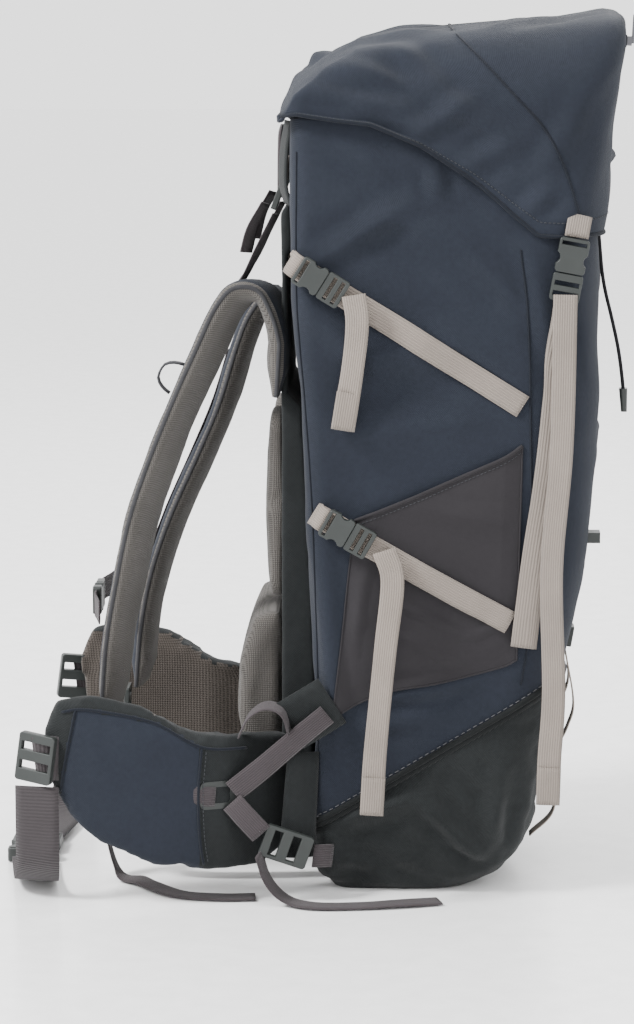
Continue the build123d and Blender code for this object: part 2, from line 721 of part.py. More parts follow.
with BuildPart() as tool_holders:
    with Locations(run_plane((141, -FRONT_Y, 226), (137.6, -FRONT_Y, 206), (1, 0, 0))):
        add(ladder_lock(14, 18, 5))
    with BuildSketch(Plane.XZ.offset(TAB_Y)):
        with Locations((150, TAB_Z)):
            Rectangle(30, 9)
    extrude(amount=16)
    add(bag_form(AIR), mode=Mode.SUBTRACT)
    mirror(about=LEFT)
save(tool_holders, "tool_holders")

# ---- Sternum strap between the shoulder straps ----
STERNUM_Z = 237
STERNUM_X = -274
with BuildPart() as sternum_webbing:
    for side in (-1, 1):
        add(ribbon(Plane.XY.offset(STERNUM_Z),
                   [(-266, side * 78), (-269, side * 56), (STERNUM_X, side * 36), (STERNUM_X, side * 22.5)],
                   WEB_THICK, WEB, 8))
save(sternum_webbing, "sternum_webbing")

with BuildPart() as sternum_buckle_socket:
    with Locations(run_plane((STERNUM_X, -22, STERNUM_Z), (STERNUM_X, 2, STERNUM_Z), (-1, 0, 0))):
        with Locations((0, 0, -CLIP_THICK / 2)):
            add(socket_pattern)
save(sternum_buckle_socket, "sternum_buckle_socket")

with BuildPart() as sternum_buckle_plug:
    with Locations(run_plane((STERNUM_X, 2.3, STERNUM_Z), (STERNUM_X, 22, STERNUM_Z), (-1, 0, 0))):
        with Locations((0, 0, -CLIP_THICK / 2)):
            add(plug_pattern)
save(sternum_buckle_plug, "sternum_buckle_plug")
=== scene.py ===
import json
import math

import bpy
import numpy as np
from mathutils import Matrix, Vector, noise
from mathutils.bvhtree import BVHTree


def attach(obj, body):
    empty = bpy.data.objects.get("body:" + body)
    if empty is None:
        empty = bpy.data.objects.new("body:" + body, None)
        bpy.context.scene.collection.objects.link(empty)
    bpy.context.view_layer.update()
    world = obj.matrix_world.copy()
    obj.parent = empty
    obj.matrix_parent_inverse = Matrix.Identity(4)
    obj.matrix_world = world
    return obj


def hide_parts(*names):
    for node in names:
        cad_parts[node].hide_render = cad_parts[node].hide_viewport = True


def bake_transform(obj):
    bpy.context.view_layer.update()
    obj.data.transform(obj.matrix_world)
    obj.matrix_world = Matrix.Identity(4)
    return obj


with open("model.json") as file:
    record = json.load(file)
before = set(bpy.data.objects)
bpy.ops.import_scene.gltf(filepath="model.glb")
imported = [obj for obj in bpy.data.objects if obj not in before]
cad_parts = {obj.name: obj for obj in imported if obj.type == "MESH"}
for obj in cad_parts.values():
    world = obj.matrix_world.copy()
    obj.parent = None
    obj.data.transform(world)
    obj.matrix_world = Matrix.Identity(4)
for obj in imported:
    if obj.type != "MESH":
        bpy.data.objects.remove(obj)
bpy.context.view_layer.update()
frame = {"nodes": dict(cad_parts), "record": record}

# ---- Sizes. The frame is in metres; lists of places below are in millimetres and scaled by MM. ----
MM = 0.001
WEB = 20 * MM
WEB_THICK = 1.5 * MM
HIP_WEB = 38 * MM
HIP_WEB_THICK = 2.2 * MM
RIM = 655
SHOULDER_WIDTH = 62 * MM
SHOULDER_THICK = 19 * MM
SIDES = (-1, 1)
SIDE_NAMES = {-1: "left", 1: "right"}

# Bag outline: height, back face, front face, half width
BAG_SECTIONS = np.array([
    (0, -62, 62, 104), (14, -76, 86, 118), (40, -80, 105, 128), (90, -80, 116, 135),
    (180, -78, 130, 142), (260, -80, 148, 146), (340, -84, 158, 149), (430, -90, 162, 150),
    (520, -97, 162, 150), (560, -98, 160, 149), (600, -99, 154, 148), (RIM, -98, 149, 145),
], float)
FOLD_DEPTH = 2.5             # how strongly every listed crease shows
CREASE_EDGE = 2.0            # how soft a crease's ridge is, in millimetres
CLIP_REACH = 64 * MM         # how far a side clip reaches along its strap
STITCH_LIFT = 0.3 * MM
FLAP_BACK = (-68, 71)
FLAP_FRONT = (106, 178)


# ---- Small mesh tools ----

def mesh_object(name, verts, faces, materials, uvs=None):
    """A smooth-shaded mesh from arrays in metres, with one UV pair per vertex if given."""
    name = name.replace(" ", "_")
    mesh = bpy.data.meshes.new(name)
    mesh.from_pydata([tuple(v) for v in verts], [], [tuple(f) for f in faces])
    mesh.shade_smooth()
    obj = bpy.data.objects.new(name, mesh)
    bpy.context.collection.objects.link(obj)
    for item in materials:
        mesh.materials.append(item)
    if uvs is not None:
        layer = mesh.uv_layers.new(name="UVMap")
        loop_verts = np.empty(len(mesh.loops), int)
        mesh.loops.foreach_get("vertex_index", loop_verts)
        layer.data.foreach_set("uv", np.asarray(uvs)[loop_verts].ravel())
    return obj


def grid_faces(rows, cols, closed=False):
    """Quads over a grid of rows x cols vertices, joined round if closed."""
    faces = []
    last = cols if closed else cols - 1
    for j in range(rows - 1):
        for i in range(last):
            k = (i + 1) % cols
            faces.append((j * cols + i, j * cols + k, (j + 1) * cols + k, (j + 1) * cols + i))
    return faces


def grid_normals(grid, closed=False):
    """Unit normals over a grid of points."""
    along = np.gradient(grid, axis=0)
    if closed:
        across = np.roll(grid, -1, axis=1) - np.roll(grid, 1, axis=1)
    else:
        across = np.gradient(grid, axis=1)
    normal = np.cross(across, along)
    return normal / np.maximum(np.linalg.norm(normal, axis=-1, keepdims=True), 1e-9)


def smooth_path(points, step=4 * MM):
    """A curve through the points, resampled evenly."""
    points = np.asarray(points, float)
    if len(points) == 2:
        dense = np.linspace(points[0], points[1], 20)
    else:
        padded = np.vstack([2 * points[0] - points[1], points, 2 * points[-1] - points[-2]])
        dense = []
        for a, b, c, d in zip(padded, padded[1:], padded[2:], padded[3:]):
            t = np.linspace(0, 1, 24, endpoint=False)[:, None]
            dense.append(0.5 * (2 * b + (c - a) * t + (2 * a - 5 * b + 4 * c - d) * t ** 2
                                + (3 * b - a - 3 * c + d) * t ** 3))
        dense = np.vstack(dense + [points[-1:]])
    run = distances(dense)
    even = np.linspace(0, run[-1], max(3, int(run[-1] / step) + 1))
    return np.stack([np.interp(even, run, dense[:, k]) for k in range(points.shape[1])], axis=1)


def fractal(points, scale, octaves=3, seed=0.0):
    """Smooth noise at each point, about -1 to 1. Scale is waves per metre."""
    flat = points.reshape(-1, 3) * scale + seed
    values = [noise.fractal(Vector(p), 0.9, 2.0, octaves) for p in flat]
    return np.array(values).reshape(points.shape[:-1])


def fold(points, start, end, width, height):
    """The height of one soft crease between two places: a ridge with a shallow valley on each side."""
    start = np.array(start, float) * MM
    end = np.array(end, float) * MM
    along = end - start
    reach = np.clip(((points - start) @ along) / (along @ along), 0, 1)
    gap = np.linalg.norm(points - (start + reach[..., None] * along), axis=-1)
    fade = np.sin(math.pi * (0.03 + 0.94 * reach))
    width = width * MM
    eased = np.sqrt(gap ** 2 + (CREASE_EDGE * MM) ** 2)
    ridge = np.exp(-eased / (0.8 * width))
    valley = 0.45 * np.exp(-((gap - 1.9 * width) / width) ** 2)
    return (ridge - valley) * fade * height * FOLD_DEPTH * MM


TUBE_SIDES = 8


def tube(name, path, radius, item):
    """Piping: a round bead along a path."""
    path = np.asarray(path)
    tangent = np.gradient(path, axis=0)
    tangent /= np.maximum(np.linalg.norm(tangent, axis=1, keepdims=True), 1e-9)
    lead = np.array([0.3, 0.2, 1.0]) if abs(tangent[0][2]) < 0.8 else np.array([1.0, 0.3, 0.1])
    rings = []
    for point, along in zip(path, tangent):
        lead = lead - along * (lead @ along)
        lead = lead / np.linalg.norm(lead)
        other = np.cross(along, lead)
        turn = np.linspace(0, 2 * math.pi, TUBE_SIDES, endpoint=False)[:, None]
        rings.append(point + radius * (np.cos(turn) * lead + np.sin(turn) * other))
    verts = np.vstack(rings)
    faces = grid_faces(len(path), TUBE_SIDES, closed=True)
    faces += [tuple(range(TUBE_SIDES))[::-1], tuple(range(len(verts) - TUBE_SIDES, len(verts)))]
    return mesh_object(name, verts, faces, [item])


ACROSS = np.linspace(-0.5, 0.5, 7)       # the places across a band's width


def unit(vectors):
    """The vectors, each made one long."""
    return vectors / np.linalg.norm(vectors, axis=-1, keepdims=True)


def distances(points):
    """How far each point lies along the line through them."""
    return np.r_[0, np.cumsum(np.linalg.norm(np.diff(points, axis=0), axis=1))]


def strip(name, grid, normal, thick, item):
    """A flat band with real thickness over a grid of points, rows along it."""
    rows, cols = grid.shape[:2]
    if normal.ndim == 2:
        normal = normal[:, None, :]
    round_edge = 1 - 0.35 * np.abs(np.linspace(-1, 1, cols)) ** 6
    top = grid + normal * thick * round_edge[None, :, None]
    ring = np.concatenate([top, grid[:, ::-1]], axis=1)
    faces = grid_faces(rows, 2 * cols, closed=True)
    faces += [tuple(range(2 * cols))[::-1], tuple(range((rows - 1) * 2 * cols, rows * 2 * cols))]
    run = distances(grid[:, cols // 2])
    across = np.linalg.norm(grid[0] - grid[0, 0], axis=1)
    u = np.r_[across, across[::-1]]
    uvs = np.stack([np.tile(u, rows), np.repeat(run, 2 * cols)], axis=1)
    return mesh_object(name, ring.reshape(-1, 3), faces, [item], uvs)


def webbing(name, points, across, item, width=WEB, thick=WEB_THICK, twist=0.0):
    """Free webbing along a path given in millimetres; across is its width direction."""
    path = smooth_path(np.array(points, float) * MM)
    tangent = unit(np.gradient(path, axis=0))
    wide = np.array(across, float)
    wide = wide - tangent * (tangent @ wide)[:, None]
    wide = unit(wide)
    face = np.cross(tangent, wide)
    turn = twist * np.sin(np.linspace(0, math.pi, len(path)))[:, None]
    turned = wide * np.cos(turn) + face * np.sin(turn)
    face = face * np.cos(turn) - wide * np.sin(turn)
    grid = path[:, None, :] + turned[:, None, :] * ACROSS[None, :, None] * width
    return strip(name, grid - face[:, None, :] * thick / 2, face, thick, item)


THREAD = 0.35 * MM


def stitches(name, path, normals, item, pitch=3.6 * MM, length=2.3 * MM):
    """A row of thread stitches laid along a path."""
    path = np.asarray(path)
    run = distances(path)
    verts = []
    faces = []
    for start in np.arange(pitch, run[-1] - pitch, pitch):
        ends = [np.array([np.interp(place, run, path[:, k]) for k in range(3)])
                for place in (start, start + length)]
        along = ends[1] - ends[0]
        along /= max(np.linalg.norm(along), 1e-9)
        up = np.array([np.interp(start, run, normals[:, k]) for k in range(3)])
        side = np.cross(along, up)
        base = len(verts)
        for end in ends:
            for a, b in ((-1, 0.1), (1, 0.1), (0.5, 1.0), (-0.5, 1.0)):
                verts.append(end + side * a * THREAD + up * b * THREAD)
        faces += [(base + a, base + b, base + 4 + b, base + 4 + a)
                  for a, b in ((0, 1), (1, 2), (2, 3), (3, 0))]
        faces += [(base, base + 3, base + 2, base + 1), (base + 4, base + 5, base + 6, base + 7)]
    return mesh_object(name, verts, faces, [item])


def done(obj, body, node=None):
    """Tie a piece to the frame: the body it moves with, and hide the CAD node it stands for."""
    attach(obj, body)
    if node:
        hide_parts(node)


# ---- Materials ----

class Shader:
    """A material's node tree, with short calls for the nodes the cloths share."""

    def __init__(self, name, roughness, sheen=0.0, metallic=0.0, specular=0.08):
        self.material = bpy.data.materials.new(name)
        self.material.use_nodes = True
        self.nodes = self.material.node_tree.nodes
        self.links = self.material.node_tree.links
        self.bsdf = self.nodes["Principled BSDF"]
        self.bsdf.inputs["Roughness"].default_value = roughness
        self.bsdf.inputs["Metallic"].default_value = metallic
        self.bsdf.inputs["Specular IOR Level"].default_value = specular
        self.bsdf.inputs["Sheen Weight"].default_value = sheen
        self.bsdf.inputs["Sheen Roughness"].default_value = 0.5

    def value(self, source, socket):
        if isinstance(source, (int, float)):
            socket.default_value = source
        else:
            self.links.new(source, socket)

    def math(self, operation, a, b=0.0):
        node = self.nodes.new("ShaderNodeMath")
        node.operation = operation
        self.value(a, node.inputs[0])
        self.value(b, node.inputs[1])
        return node.outputs[0]

    def axes(self, uv=False):
        """The object's own x, y, z, or a band's (across, along)."""
        coords = self.nodes.new("ShaderNodeTexCoord")
        split = self.nodes.new("ShaderNodeSeparateXYZ")
        self.links.new(coords.outputs["UV" if uv else "Object"], split.inputs[0])
        return split.outputs

    def noise(self, scale, detail):
        coords = self.nodes.new("ShaderNodeTexCoord")
        node = self.nodes.new("ShaderNodeTexNoise")
        node.inputs["Scale"].default_value = scale
        node.inputs["Detail"].default_value = detail
        self.links.new(coords.outputs["Object"], node.inputs["Vector"])
        return node.outputs["Fac"]

    def wave(self, coordinate, pitch):
        """A sine along a coordinate, with this pitch in metres."""
        return self.math("SINE", self.math("MULTIPLY", coordinate, 2 * math.pi / pitch))

    def colour(self, dark, light, amount):
        mix = self.nodes.new("ShaderNodeMix")
        mix.data_type = "RGBA"
        mix.inputs[6].default_value = (*dark, 1)
        mix.inputs[7].default_value = (*light, 1)
        self.value(amount, mix.inputs[0])
        self.links.new(mix.outputs[2], self.bsdf.inputs["Base Color"])

    def bump(self, height, depth, strength):
        node = self.nodes.new("ShaderNodeBump")
        node.inputs["Distance"].default_value = depth
        node.inputs["Strength"].default_value = strength
        self.value(height, node.inputs["Height"])
        self.links.new(node.outputs[0], self.bsdf.inputs["Normal"])


def tinted(colour, factor):
    """The colour, darker or lighter."""
    return tuple(min(1.0, channel * factor) for channel in colour)


def woven(name, colour, pitch=1.6 * MM, depth=0.25 * MM, sheen=0.06, roughness=0.82, contrast=0.25):
    """Woven cloth: crossing threads, with soft fading and rubbed patches."""
    s = Shader(name, roughness, sheen)
    x, y, z = s.axes()
    weft = s.wave(s.math("ADD", x, y), pitch)
    warp = s.wave(z, pitch)
    threads = s.math("MULTIPLY", weft, warp)
    patches = s.math("SUBTRACT", s.noise(9, 4), 0.5)
    fine = s.math("SUBTRACT", s.noise(260, 2), 0.5)
    amount = s.math("ADD", s.math("ADD", s.math("MULTIPLY", threads, 0.22), 0.5),
                    s.math("ADD", s.math("MULTIPLY", patches, 1.1), s.math("MULTIPLY", fine, 0.7)))
    s.colour(tinted(colour, 1 - contrast), tinted(colour, 1 + contrast), amount)
    s.bump(s.math("ADD", threads, s.math("MULTIPLY", fine, 2.0)), depth, 0.6)
    return s.material


def ribbed(name, colour, pitch=2.0 * MM, crosswise=False, depth=0.3 * MM):
    """Webbing: ribs that run lengthwise, or across it, over a fine weave."""
    s = Shader(name, 0.75, 0.1)
    across, along, _ = s.axes(uv=True)
    ribs = s.wave(along if crosswise else across, pitch)
    fine = s.wave(across if crosswise else along, 1.1 * MM)
    worn = s.math("SUBTRACT", s.noise(30, 4), 0.5)
    amount = s.math("ADD", s.math("ADD", s.math("MULTIPLY", ribs, 0.28), 0.5),
                    s.math("ADD", s.math("MULTIPLY", fine, 0.12), s.math("MULTIPLY", worn, 0.8)))
    s.colour(tinted(colour, 0.78), tinted(colour, 1.16), amount)
    s.bump(s.math("ADD", ribs, s.math("MULTIPLY", fine, 0.4)), depth, 0.8)
    return s.material


HOLE_EDGE = 0.35             # how far up the wave between two holes a hole's edge lies


def spacer_mesh(name, colour, pitch):
    """Spacer mesh: staggered dark holes through a knitted face."""
    s = Shader(name, 0.85, 0.1)
    x, y, z = s.axes()
    a = s.wave(s.math("ADD", s.math("ADD", x, z), y), pitch)
    b = s.wave(s.math("SUBTRACT", s.math("ADD", y, x), z), pitch)
    dots = s.math("MULTIPLY", a, b)
    holes = s.math("GREATER_THAN", dots, HOLE_EDGE)
    worn = s.math("MULTIPLY", s.math("SUBTRACT", s.noise(22, 3), 0.5), 0.5)
    amount = s.math("ADD", s.math("SUBTRACT", 0.85, s.math("MULTIPLY", holes, 0.75)), worn)
    s.colour(tinted(colour, 0.42), tinted(colour, 1.12), amount)
    s.bump(s.math("MULTIPLY", dots, -1.0), 0.5 * MM, 0.7)
    return s.material


def moulded(name, colour):
    """Moulded plastic with a light grain and scuffs."""
    s = Shader(name, roughness=0.42, specular=0.3)
    scuffs = s.noise(70, 5)
    s.colour(tinted(colour, 0.85), tinted(colour, 1.25), scuffs)
    s.bump(s.noise(900, 2), 0.08 * MM, 0.5)
    return s.material


def plain(name, colour, roughness, metallic=0.0):
    """An even surface, such as metal, thread or the floor."""
    s = Shader(name, roughness, metallic=metallic, specular=0.4)
    s.colour(tinted(colour, 0.9), tinted(colour, 1.1), s.noise(40, 3))
    return s.material


NAVY = (0.0138, 0.0165, 0.0236)
CHARCOAL = (0.0130, 0.0145, 0.0150)
navy = woven("navy cloth", NAVY)
navy_dark = woven("dark navy binding", tinted(NAVY, 0.6))
charcoal = woven("charcoal cloth", CHARCOAL, pitch=2.2 * MM, contrast=0.35)
charcoal_dark = woven("charcoal binding", tinted(CHARCOAL, 0.6))
stretch = woven("stretch pocket cloth", (0.0200, 0.0185, 0.0205), pitch=1.0 * MM, depth=0.1 * MM,
                contrast=0.12)
lining = woven("lining cloth", (0.10, 0.10, 0.11), pitch=1.2 * MM)
beige = ribbed("beige webbing", (0.20, 0.172, 0.150))
taupe = ribbed("taupe webbing", (0.045, 0.038, 0.041))
taupe_cross = ribbed("cross-ribbed hip webbing", (0.040, 0.035, 0.037), pitch=3.0 * MM, crosswise=True)
pad_mesh = spacer_mesh("light spacer mesh", (0.085, 0.079, 0.073), pitch=3.4 * MM)
fin_mesh = spacer_mesh("brown spacer mesh", (0.055, 0.047, 0.041), pitch=4.4 * MM)
grey_binding = woven("grey binding", (0.035, 0.035, 0.038), pitch=1.3 * MM)
plastic = moulded("grey-green buckle plastic", (0.022, 0.025, 0.024))
black_plastic = moulded("black sheet plastic", (0.02, 0.02, 0.02))
zip_cloth = woven("zip tape", (0.02, 0.022, 0.026), pitch=1.0 * MM)
zip_metal = plain("zip slider", (0.12, 0.12, 0.13), 0.35, 1.0)
stay_metal = plain("stay aluminium", (0.7, 0.7, 0.72), 0.35, 1.0)
cord_black = woven("black cord", (0.012, 0.012, 0.014), pitch=1.2 * MM)
thread_dark = plain("dark thread", (0.02, 0.022, 0.026), 0.7)
thread_light = plain("light thread", (0.075, 0.075, 0.078), 0.7)

SLOT_MATERIALS = {
    "navy_fabric": navy, "charcoal_fabric": charcoal, "lining_fabric": lining, "pocket_fabric": stretch,
    "mesh_fabric": pad_mesh, "fin_fabric": navy, "beige_webbing": beige, "grey_webbing": taupe,
    "buckle_plastic": plastic, "zip_tape": zip_cloth, "zip_metal": zip_metal, "frame_plastic": black_plastic,
    "stay_aluminium": stay_metal, "drawcord": cord_black,
}
for part in frame["record"]["subparts"]:
    node = frame["nodes"][part["node"]]
    node.data.materials.clear()
    node.data.materials.append(SLOT_MATERIALS[part["material_slot"]])


# ---- The bag: smooth rounded sections, with creases pressed into the cloth ----

def rounded_outline(back, front, half, back_corner, front_corner, count):
    """Evenly spaced points round a rounded rectangle, from the middle of the back."""
    corners = [
        (back + back_corner, -half + back_corner, back_corner, 180),
        (front - front_corner, -half + front_corner, front_corner, 270),
        (front - front_corner, half - front_corner, front_corner, 0),
        (back + back_corner, half - back_corner, back_corner, 90),
    ]
    points = [(back, 0)]
    for x, y, radius, angle in corners:
        for turn in np.radians(np.linspace(angle, angle + 90, 12)):
            points.append((x + radius * math.cos(turn), y + radius * math.sin(turn)))
    points.append((back, 0))
    points = np.array(points)
    run = distances(points)
    even = np.linspace(0, run[-1], count, endpoint=False)
    return np.stack([np.interp(even, run, points[:, k]) for k in range(2)], axis=1)


COLUMNS = 330                # points round the bag and the lid
BAG_ROWS = 214
BASE_ROWS = 70
BAG_TOP = 668                # the cloth runs up under the lid, past the rim
BASE_BOTTOM = 0.4
LEVEL_STEP = 4.0
LEVELS = np.arange(0, BAG_TOP + 1, LEVEL_STEP)
BACK_CORNER = 18
FRONT_CORNER = 46
EASED_FROM = 60              # below this height the sections are less and less eased


def section_at(height):
    """Back, front and half width of the bag at a height, eased between its sections."""
    near = np.clip(height + np.linspace(-16, 16, 9), 0, BAG_TOP)
    pull = 1.0 if height > EASED_FROM else height / EASED_FROM
    soft = np.array([np.interp(near, BAG_SECTIONS[:, 0], BAG_SECTIONS[:, k]).mean() for k in (1, 2, 3)])
    hard = np.array([np.interp(height, BAG_SECTIONS[:, 0], BAG_SECTIONS[:, k]) for k in (1, 2, 3)])
    return pull * soft + (1 - pull) * hard


OUTLINES = np.array([rounded_outline(*section_at(z), BACK_CORNER, FRONT_CORNER, COLUMNS) for z in LEVELS])


def bag_point(column, height):
    """A point on the bag, in millimetres."""
    level = np.clip(height / LEVEL_STEP, 0, len(LEVELS) - 1.001)
    low = int(level)
    part = level - low
    x, y = OUTLINES[low, column] * (1 - part) + OUTLINES[low + 1, column] * part
    return x, y, height


def flap_height(x):
    """Height of the flap line over the base compartment."""
    slope = (FLAP_FRONT[1] - FLAP_BACK[1]) / (FLAP_FRONT[0] - FLAP_BACK[0])
    return FLAP_BACK[1] + (x - FLAP_BACK[0]) * slope


SEAM_ROUNDS = 6              # rounds to settle the flap line on the bag, whose width changes with height


def bag_grid(low, high, rows):
    """Points over the bag between two heights, either of them 'flap'."""
    grid = np.empty((rows, COLUMNS, 3))
    for i in range(COLUMNS):
        seam = (FLAP_BACK[1] + FLAP_FRONT[1]) / 2
        for _ in range(SEAM_ROUNDS):
            seam = flap_height(bag_point(i, seam)[0])
        bottom = seam if low == "flap" else low
        top = seam if high == "flap" else high
        for j, height in enumerate(np.linspace(bottom, top, rows)):
            grid[j, i] = bag_point(i, height)
    return grid * MM


def pushed(grid, folds, rough, scale, seed):
    """The grid with creases, mirrored to both sides, and a soft unevenness pressed into it."""
    normal = -grid_normals(grid, closed=True)
    outward = grid - grid.mean(axis=(0, 1))
    if np.sum(normal * outward) < 0:
        normal = -normal
    push = fractal(grid, scale, 3, seed) * rough * MM
    for start, end, width, height in folds:
        for side in (1, -1):
            mirror = np.array([1, side, 1])
            push += fold(grid, start * mirror, end * mirror, width, height)
    edge = np.linspace(0, 1, grid.shape[0])[:, None]
    fade = np.clip(np.minimum(edge, 1 - edge) * 14, 0.15, 1)
    return grid + normal * (push * fade)[..., None], normal


# Each crease: its start, its end, its width and its height, in millimetres
BAG_FOLDS = [
    ((20, -152, 632), (28, -152, 600), 7, 3.0), ((-63, -150, 655), (-12, -152, 621), 9, 2.6),
    ((-90, -150, 540), (20, -150, 610), 9, 2.2),
    ((-92, -150, 520), (-20, -150, 455), 10, 1.8),
    ((-60, -150, 600), (60, -150, 560), 14, 2.4),
    ((-80, -150, 470), (60, -150, 480), 16, 2.0),
    ((20, -150, 500), (100, -150, 450), 9, 2.0),
    ((40, -150, 570), (120, -148, 490), 10, 2.2),
    ((100, -150, 560), (135, -140, 430), 8, 2.4),
    ((-80, -149, 400), (90, -149, 420), 18, 2.0),
    ((-76, -148, 310), (-55, -148, 200), 9, 2.2),
    ((-72, -148, 260), (-50, -144, 110), 8, 2.4),
    ((-30, -145, 175), (70, -146, 195), 7, 2.0),
    ((-40, -144, 150), (30, -145, 160), 7, 2.0),
    ((150, -90, 560), (164, -20, 500), 12, 2.6),
    ((158, -110, 380), (158, 60, 400), 16, 2.6),
    ((150, -100, 270), (150, 20, 290), 10, 2.4),
]
BASE_FOLDS = [
    ((10, -135, 91), (79, -128, 22), 7, 3.6), ((36, -135, 52), (79, -128, 22), 6, 3.0),
    ((79, -128, 129), (72, -130, 52), 7, 3.2), ((94, -120, 135), (87, -120, 22), 7, -3.0),
    ((-68, -130, 65), (10, -134, 89), 9, 3.0), ((-29, -134, 47), (36, -132, 4), 9, 2.6),
    ((-60, -128, 30), (-10, -130, 16), 7, 2.6), ((40, -134, 118), (66, -132, 84), 6, -2.6),
    ((110, -60, 100), (118, 60, 110), 10, 3.0), ((112, -90, 60), (116, 20, 70), 8, 2.6),
    ((120, -80, 150), (124, 80, 145), 8, 3.0),
]

bag = bag_grid("flap", BAG_TOP, BAG_ROWS)
bag_points, bag_normals = pushed(bag, BAG_FOLDS, rough=3.0, scale=8, seed=3.1)
base = bag_grid(BASE_BOTTOM, "flap", BASE_ROWS)
base_points, _ = pushed(base, BASE_FOLDS, rough=3.4, scale=24, seed=7.7)
base_points[0, :, 2] = BASE_BOTTOM * MM


def thicken(obj, thick):
    """Give a shell its cloth's thickness, inwards."""
    solid = obj.modifiers.new("cloth", "SOLIDIFY")
    solid.thickness = thick
    solid.offset = -1
    solid.use_even_offset = False


def facing_out(obj):
    """Turn a shell's faces outwards."""
    bpy.context.view_layer.objects.active = obj
    bpy.ops.object.select_all(action="DESELECT")
    obj.select_set(True)
    bpy.ops.object.mode_set(mode="EDIT")
    bpy.ops.mesh.select_all(action="SELECT")
    bpy.ops.mesh.normals_make_consistent(inside=False)
    bpy.ops.object.mode_set(mode="OBJECT")


bag_faces = grid_faces(*bag_points.shape[:2], closed=True)
bag = mesh_object("main bag cloth", bag_points.reshape(-1, 3), bag_faces, [navy])
facing_out(bag)
thicken(bag, 2.5 * MM)
done(bag, "pack", "main_bag")

# The base compartment has a bottom of shrinking rings
CAP_RINGS = 10
cap = [base_points[0] * [s, s, 1] for s in np.linspace(0.04, 0.96, CAP_RINGS)]
base_all = np.concatenate([np.array(cap), base_points])
base_faces = grid_faces(*base_all.shape[:2], closed=True)
base_faces.append(tuple(range(COLUMNS))[::-1])
base = mesh_object("base compartment cloth", base_all.reshape(-1, 3), base_faces, [charcoal])
facing_out(base)
done(base, "pack", "base_compartment")



def shell_tree(shells):
    """One tree to lay things on, from several shells' points and faces."""
    points = []
    faces = []
    for shell_points, shell_faces in shells:
        start = len(points)
        points += [Vector(v) for v in np.reshape(shell_points, (-1, 3))]
        faces += [tuple(corner + start for corner in face) for face in shell_faces]
    return BVHTree.FromPolygons(points, faces)


bag_tree = shell_tree([(bag_points, bag_faces), (base_all, base_faces)])


def on_shell(tree, x, z, side, lift):
    """The place on a shell straight in from one side, x and z in metres, lifted off it."""
    hit, normal, _, _ = tree.ray_cast(Vector((x, side * 0.4, z)), Vector((0, -side, 0)))
    if hit is None:
        hit, normal, _, _ = tree.find_nearest(Vector((x, side * 0.14, z)))
    if normal.dot(Vector((0, side, 0))) < 0:
        normal = -normal
    return np.array(hit) + np.array(normal) * lift, np.array(normal)


STIFF = 0.6                  # how far a strap keeps flat over what it lies on: 1 is a board


def flat_across(path):
    """The width direction along a path that lies in one plane."""
    tangent = unit(np.gradient(path, axis=0))
    return np.stack([-tangent[:, 1], tangent[:, 0]], axis=1)


def shell_strap(name, tree, line, side, lift, ceiling=None):
    """Webbing laid over a shell along an XZ line in millimetres; ceiling caps its height under a clip."""
    path = smooth_path(np.array(line, float) * MM)
    wide = flat_across(path)
    grid = np.empty((len(path), len(ACROSS), 3))
    normal = np.empty_like(grid)
    for j in range(len(path)):
        for i, offset in enumerate(ACROSS):
            x, z = path[j] + wide[j] * offset * WEB
            grid[j, i], normal[j, i] = on_shell(tree, x, z, side, lift)
        proud = side * np.max(side * grid[j, :, 1])
        grid[j, :, 1] = STIFF * proud + (1 - STIFF) * grid[j, :, 1]
        if ceiling and path[j, 0] - path[0, 0] < CLIP_REACH:
            grid[j, :, 1] = side * np.minimum(side * grid[j, :, 1], ceiling)
    smooth = grid.copy()
    for _ in range(3):
        smooth[1:-1] = (smooth[:-2] + 2 * smooth[1:-1] + smooth[2:]) / 4
    normal = unit(np.broadcast_to(normal.mean(axis=1, keepdims=True), grid.shape))
    return strip(name, smooth, normal, WEB_THICK, beige)


def shell_line(tree, line, side, lift, step=3 * MM):
    """Points and normals along an XZ line laid on a shell."""
    path = smooth_path(np.array(line, float) * MM, step)
    placed = [on_shell(tree, x, z, side, lift) for x, z in path]
    points = np.array([p for p, _ in placed])
    normals = np.array([n for _, n in placed])
    points[1:-1] = (points[:-2] + 2 * points[1:-1] + points[2:]) / 4
    return points, normals


def joined(name, objects):
    """One object from several, first one kept."""
    bpy.ops.object.select_all(action="DESELECT")
    for item in objects:
        item.select_set(True)
    bpy.context.view_layer.objects.active = objects[0]
    bpy.ops.object.join()
    objects[0].name = name.replace(" ", "_")
    return objects[0]


# The bound edge of the flap, all round, with its stitching
def closed_row(row):
    """A row of points round a shell, ending where it starts."""
    return np.vstack([row, row[:1]])


seam_normals = closed_row(bag_normals[0])
seam_points = closed_row(bag_points[0]) + seam_normals * 1.2 * MM
done(tube("flap edge binding", seam_points, 2.6 * MM, charcoal_dark), "pack")
below = seam_points - np.array([0, 0, 7 * MM]) + seam_normals * 0.6 * MM
flap_band = np.stack([seam_points + seam_normals * 0.4 * MM, below], axis=1)
done(strip("flap zip cover", flap_band, seam_normals, 0.8 * MM, charcoal_dark), "pack")
flap_row = seam_points + [0, 0, 4.5 * MM] + seam_normals * 0.5 * MM
done(stitches("flap stitching", flap_row, seam_normals, thread_light, pitch=6 * MM, length=3.6 * MM), "pack")

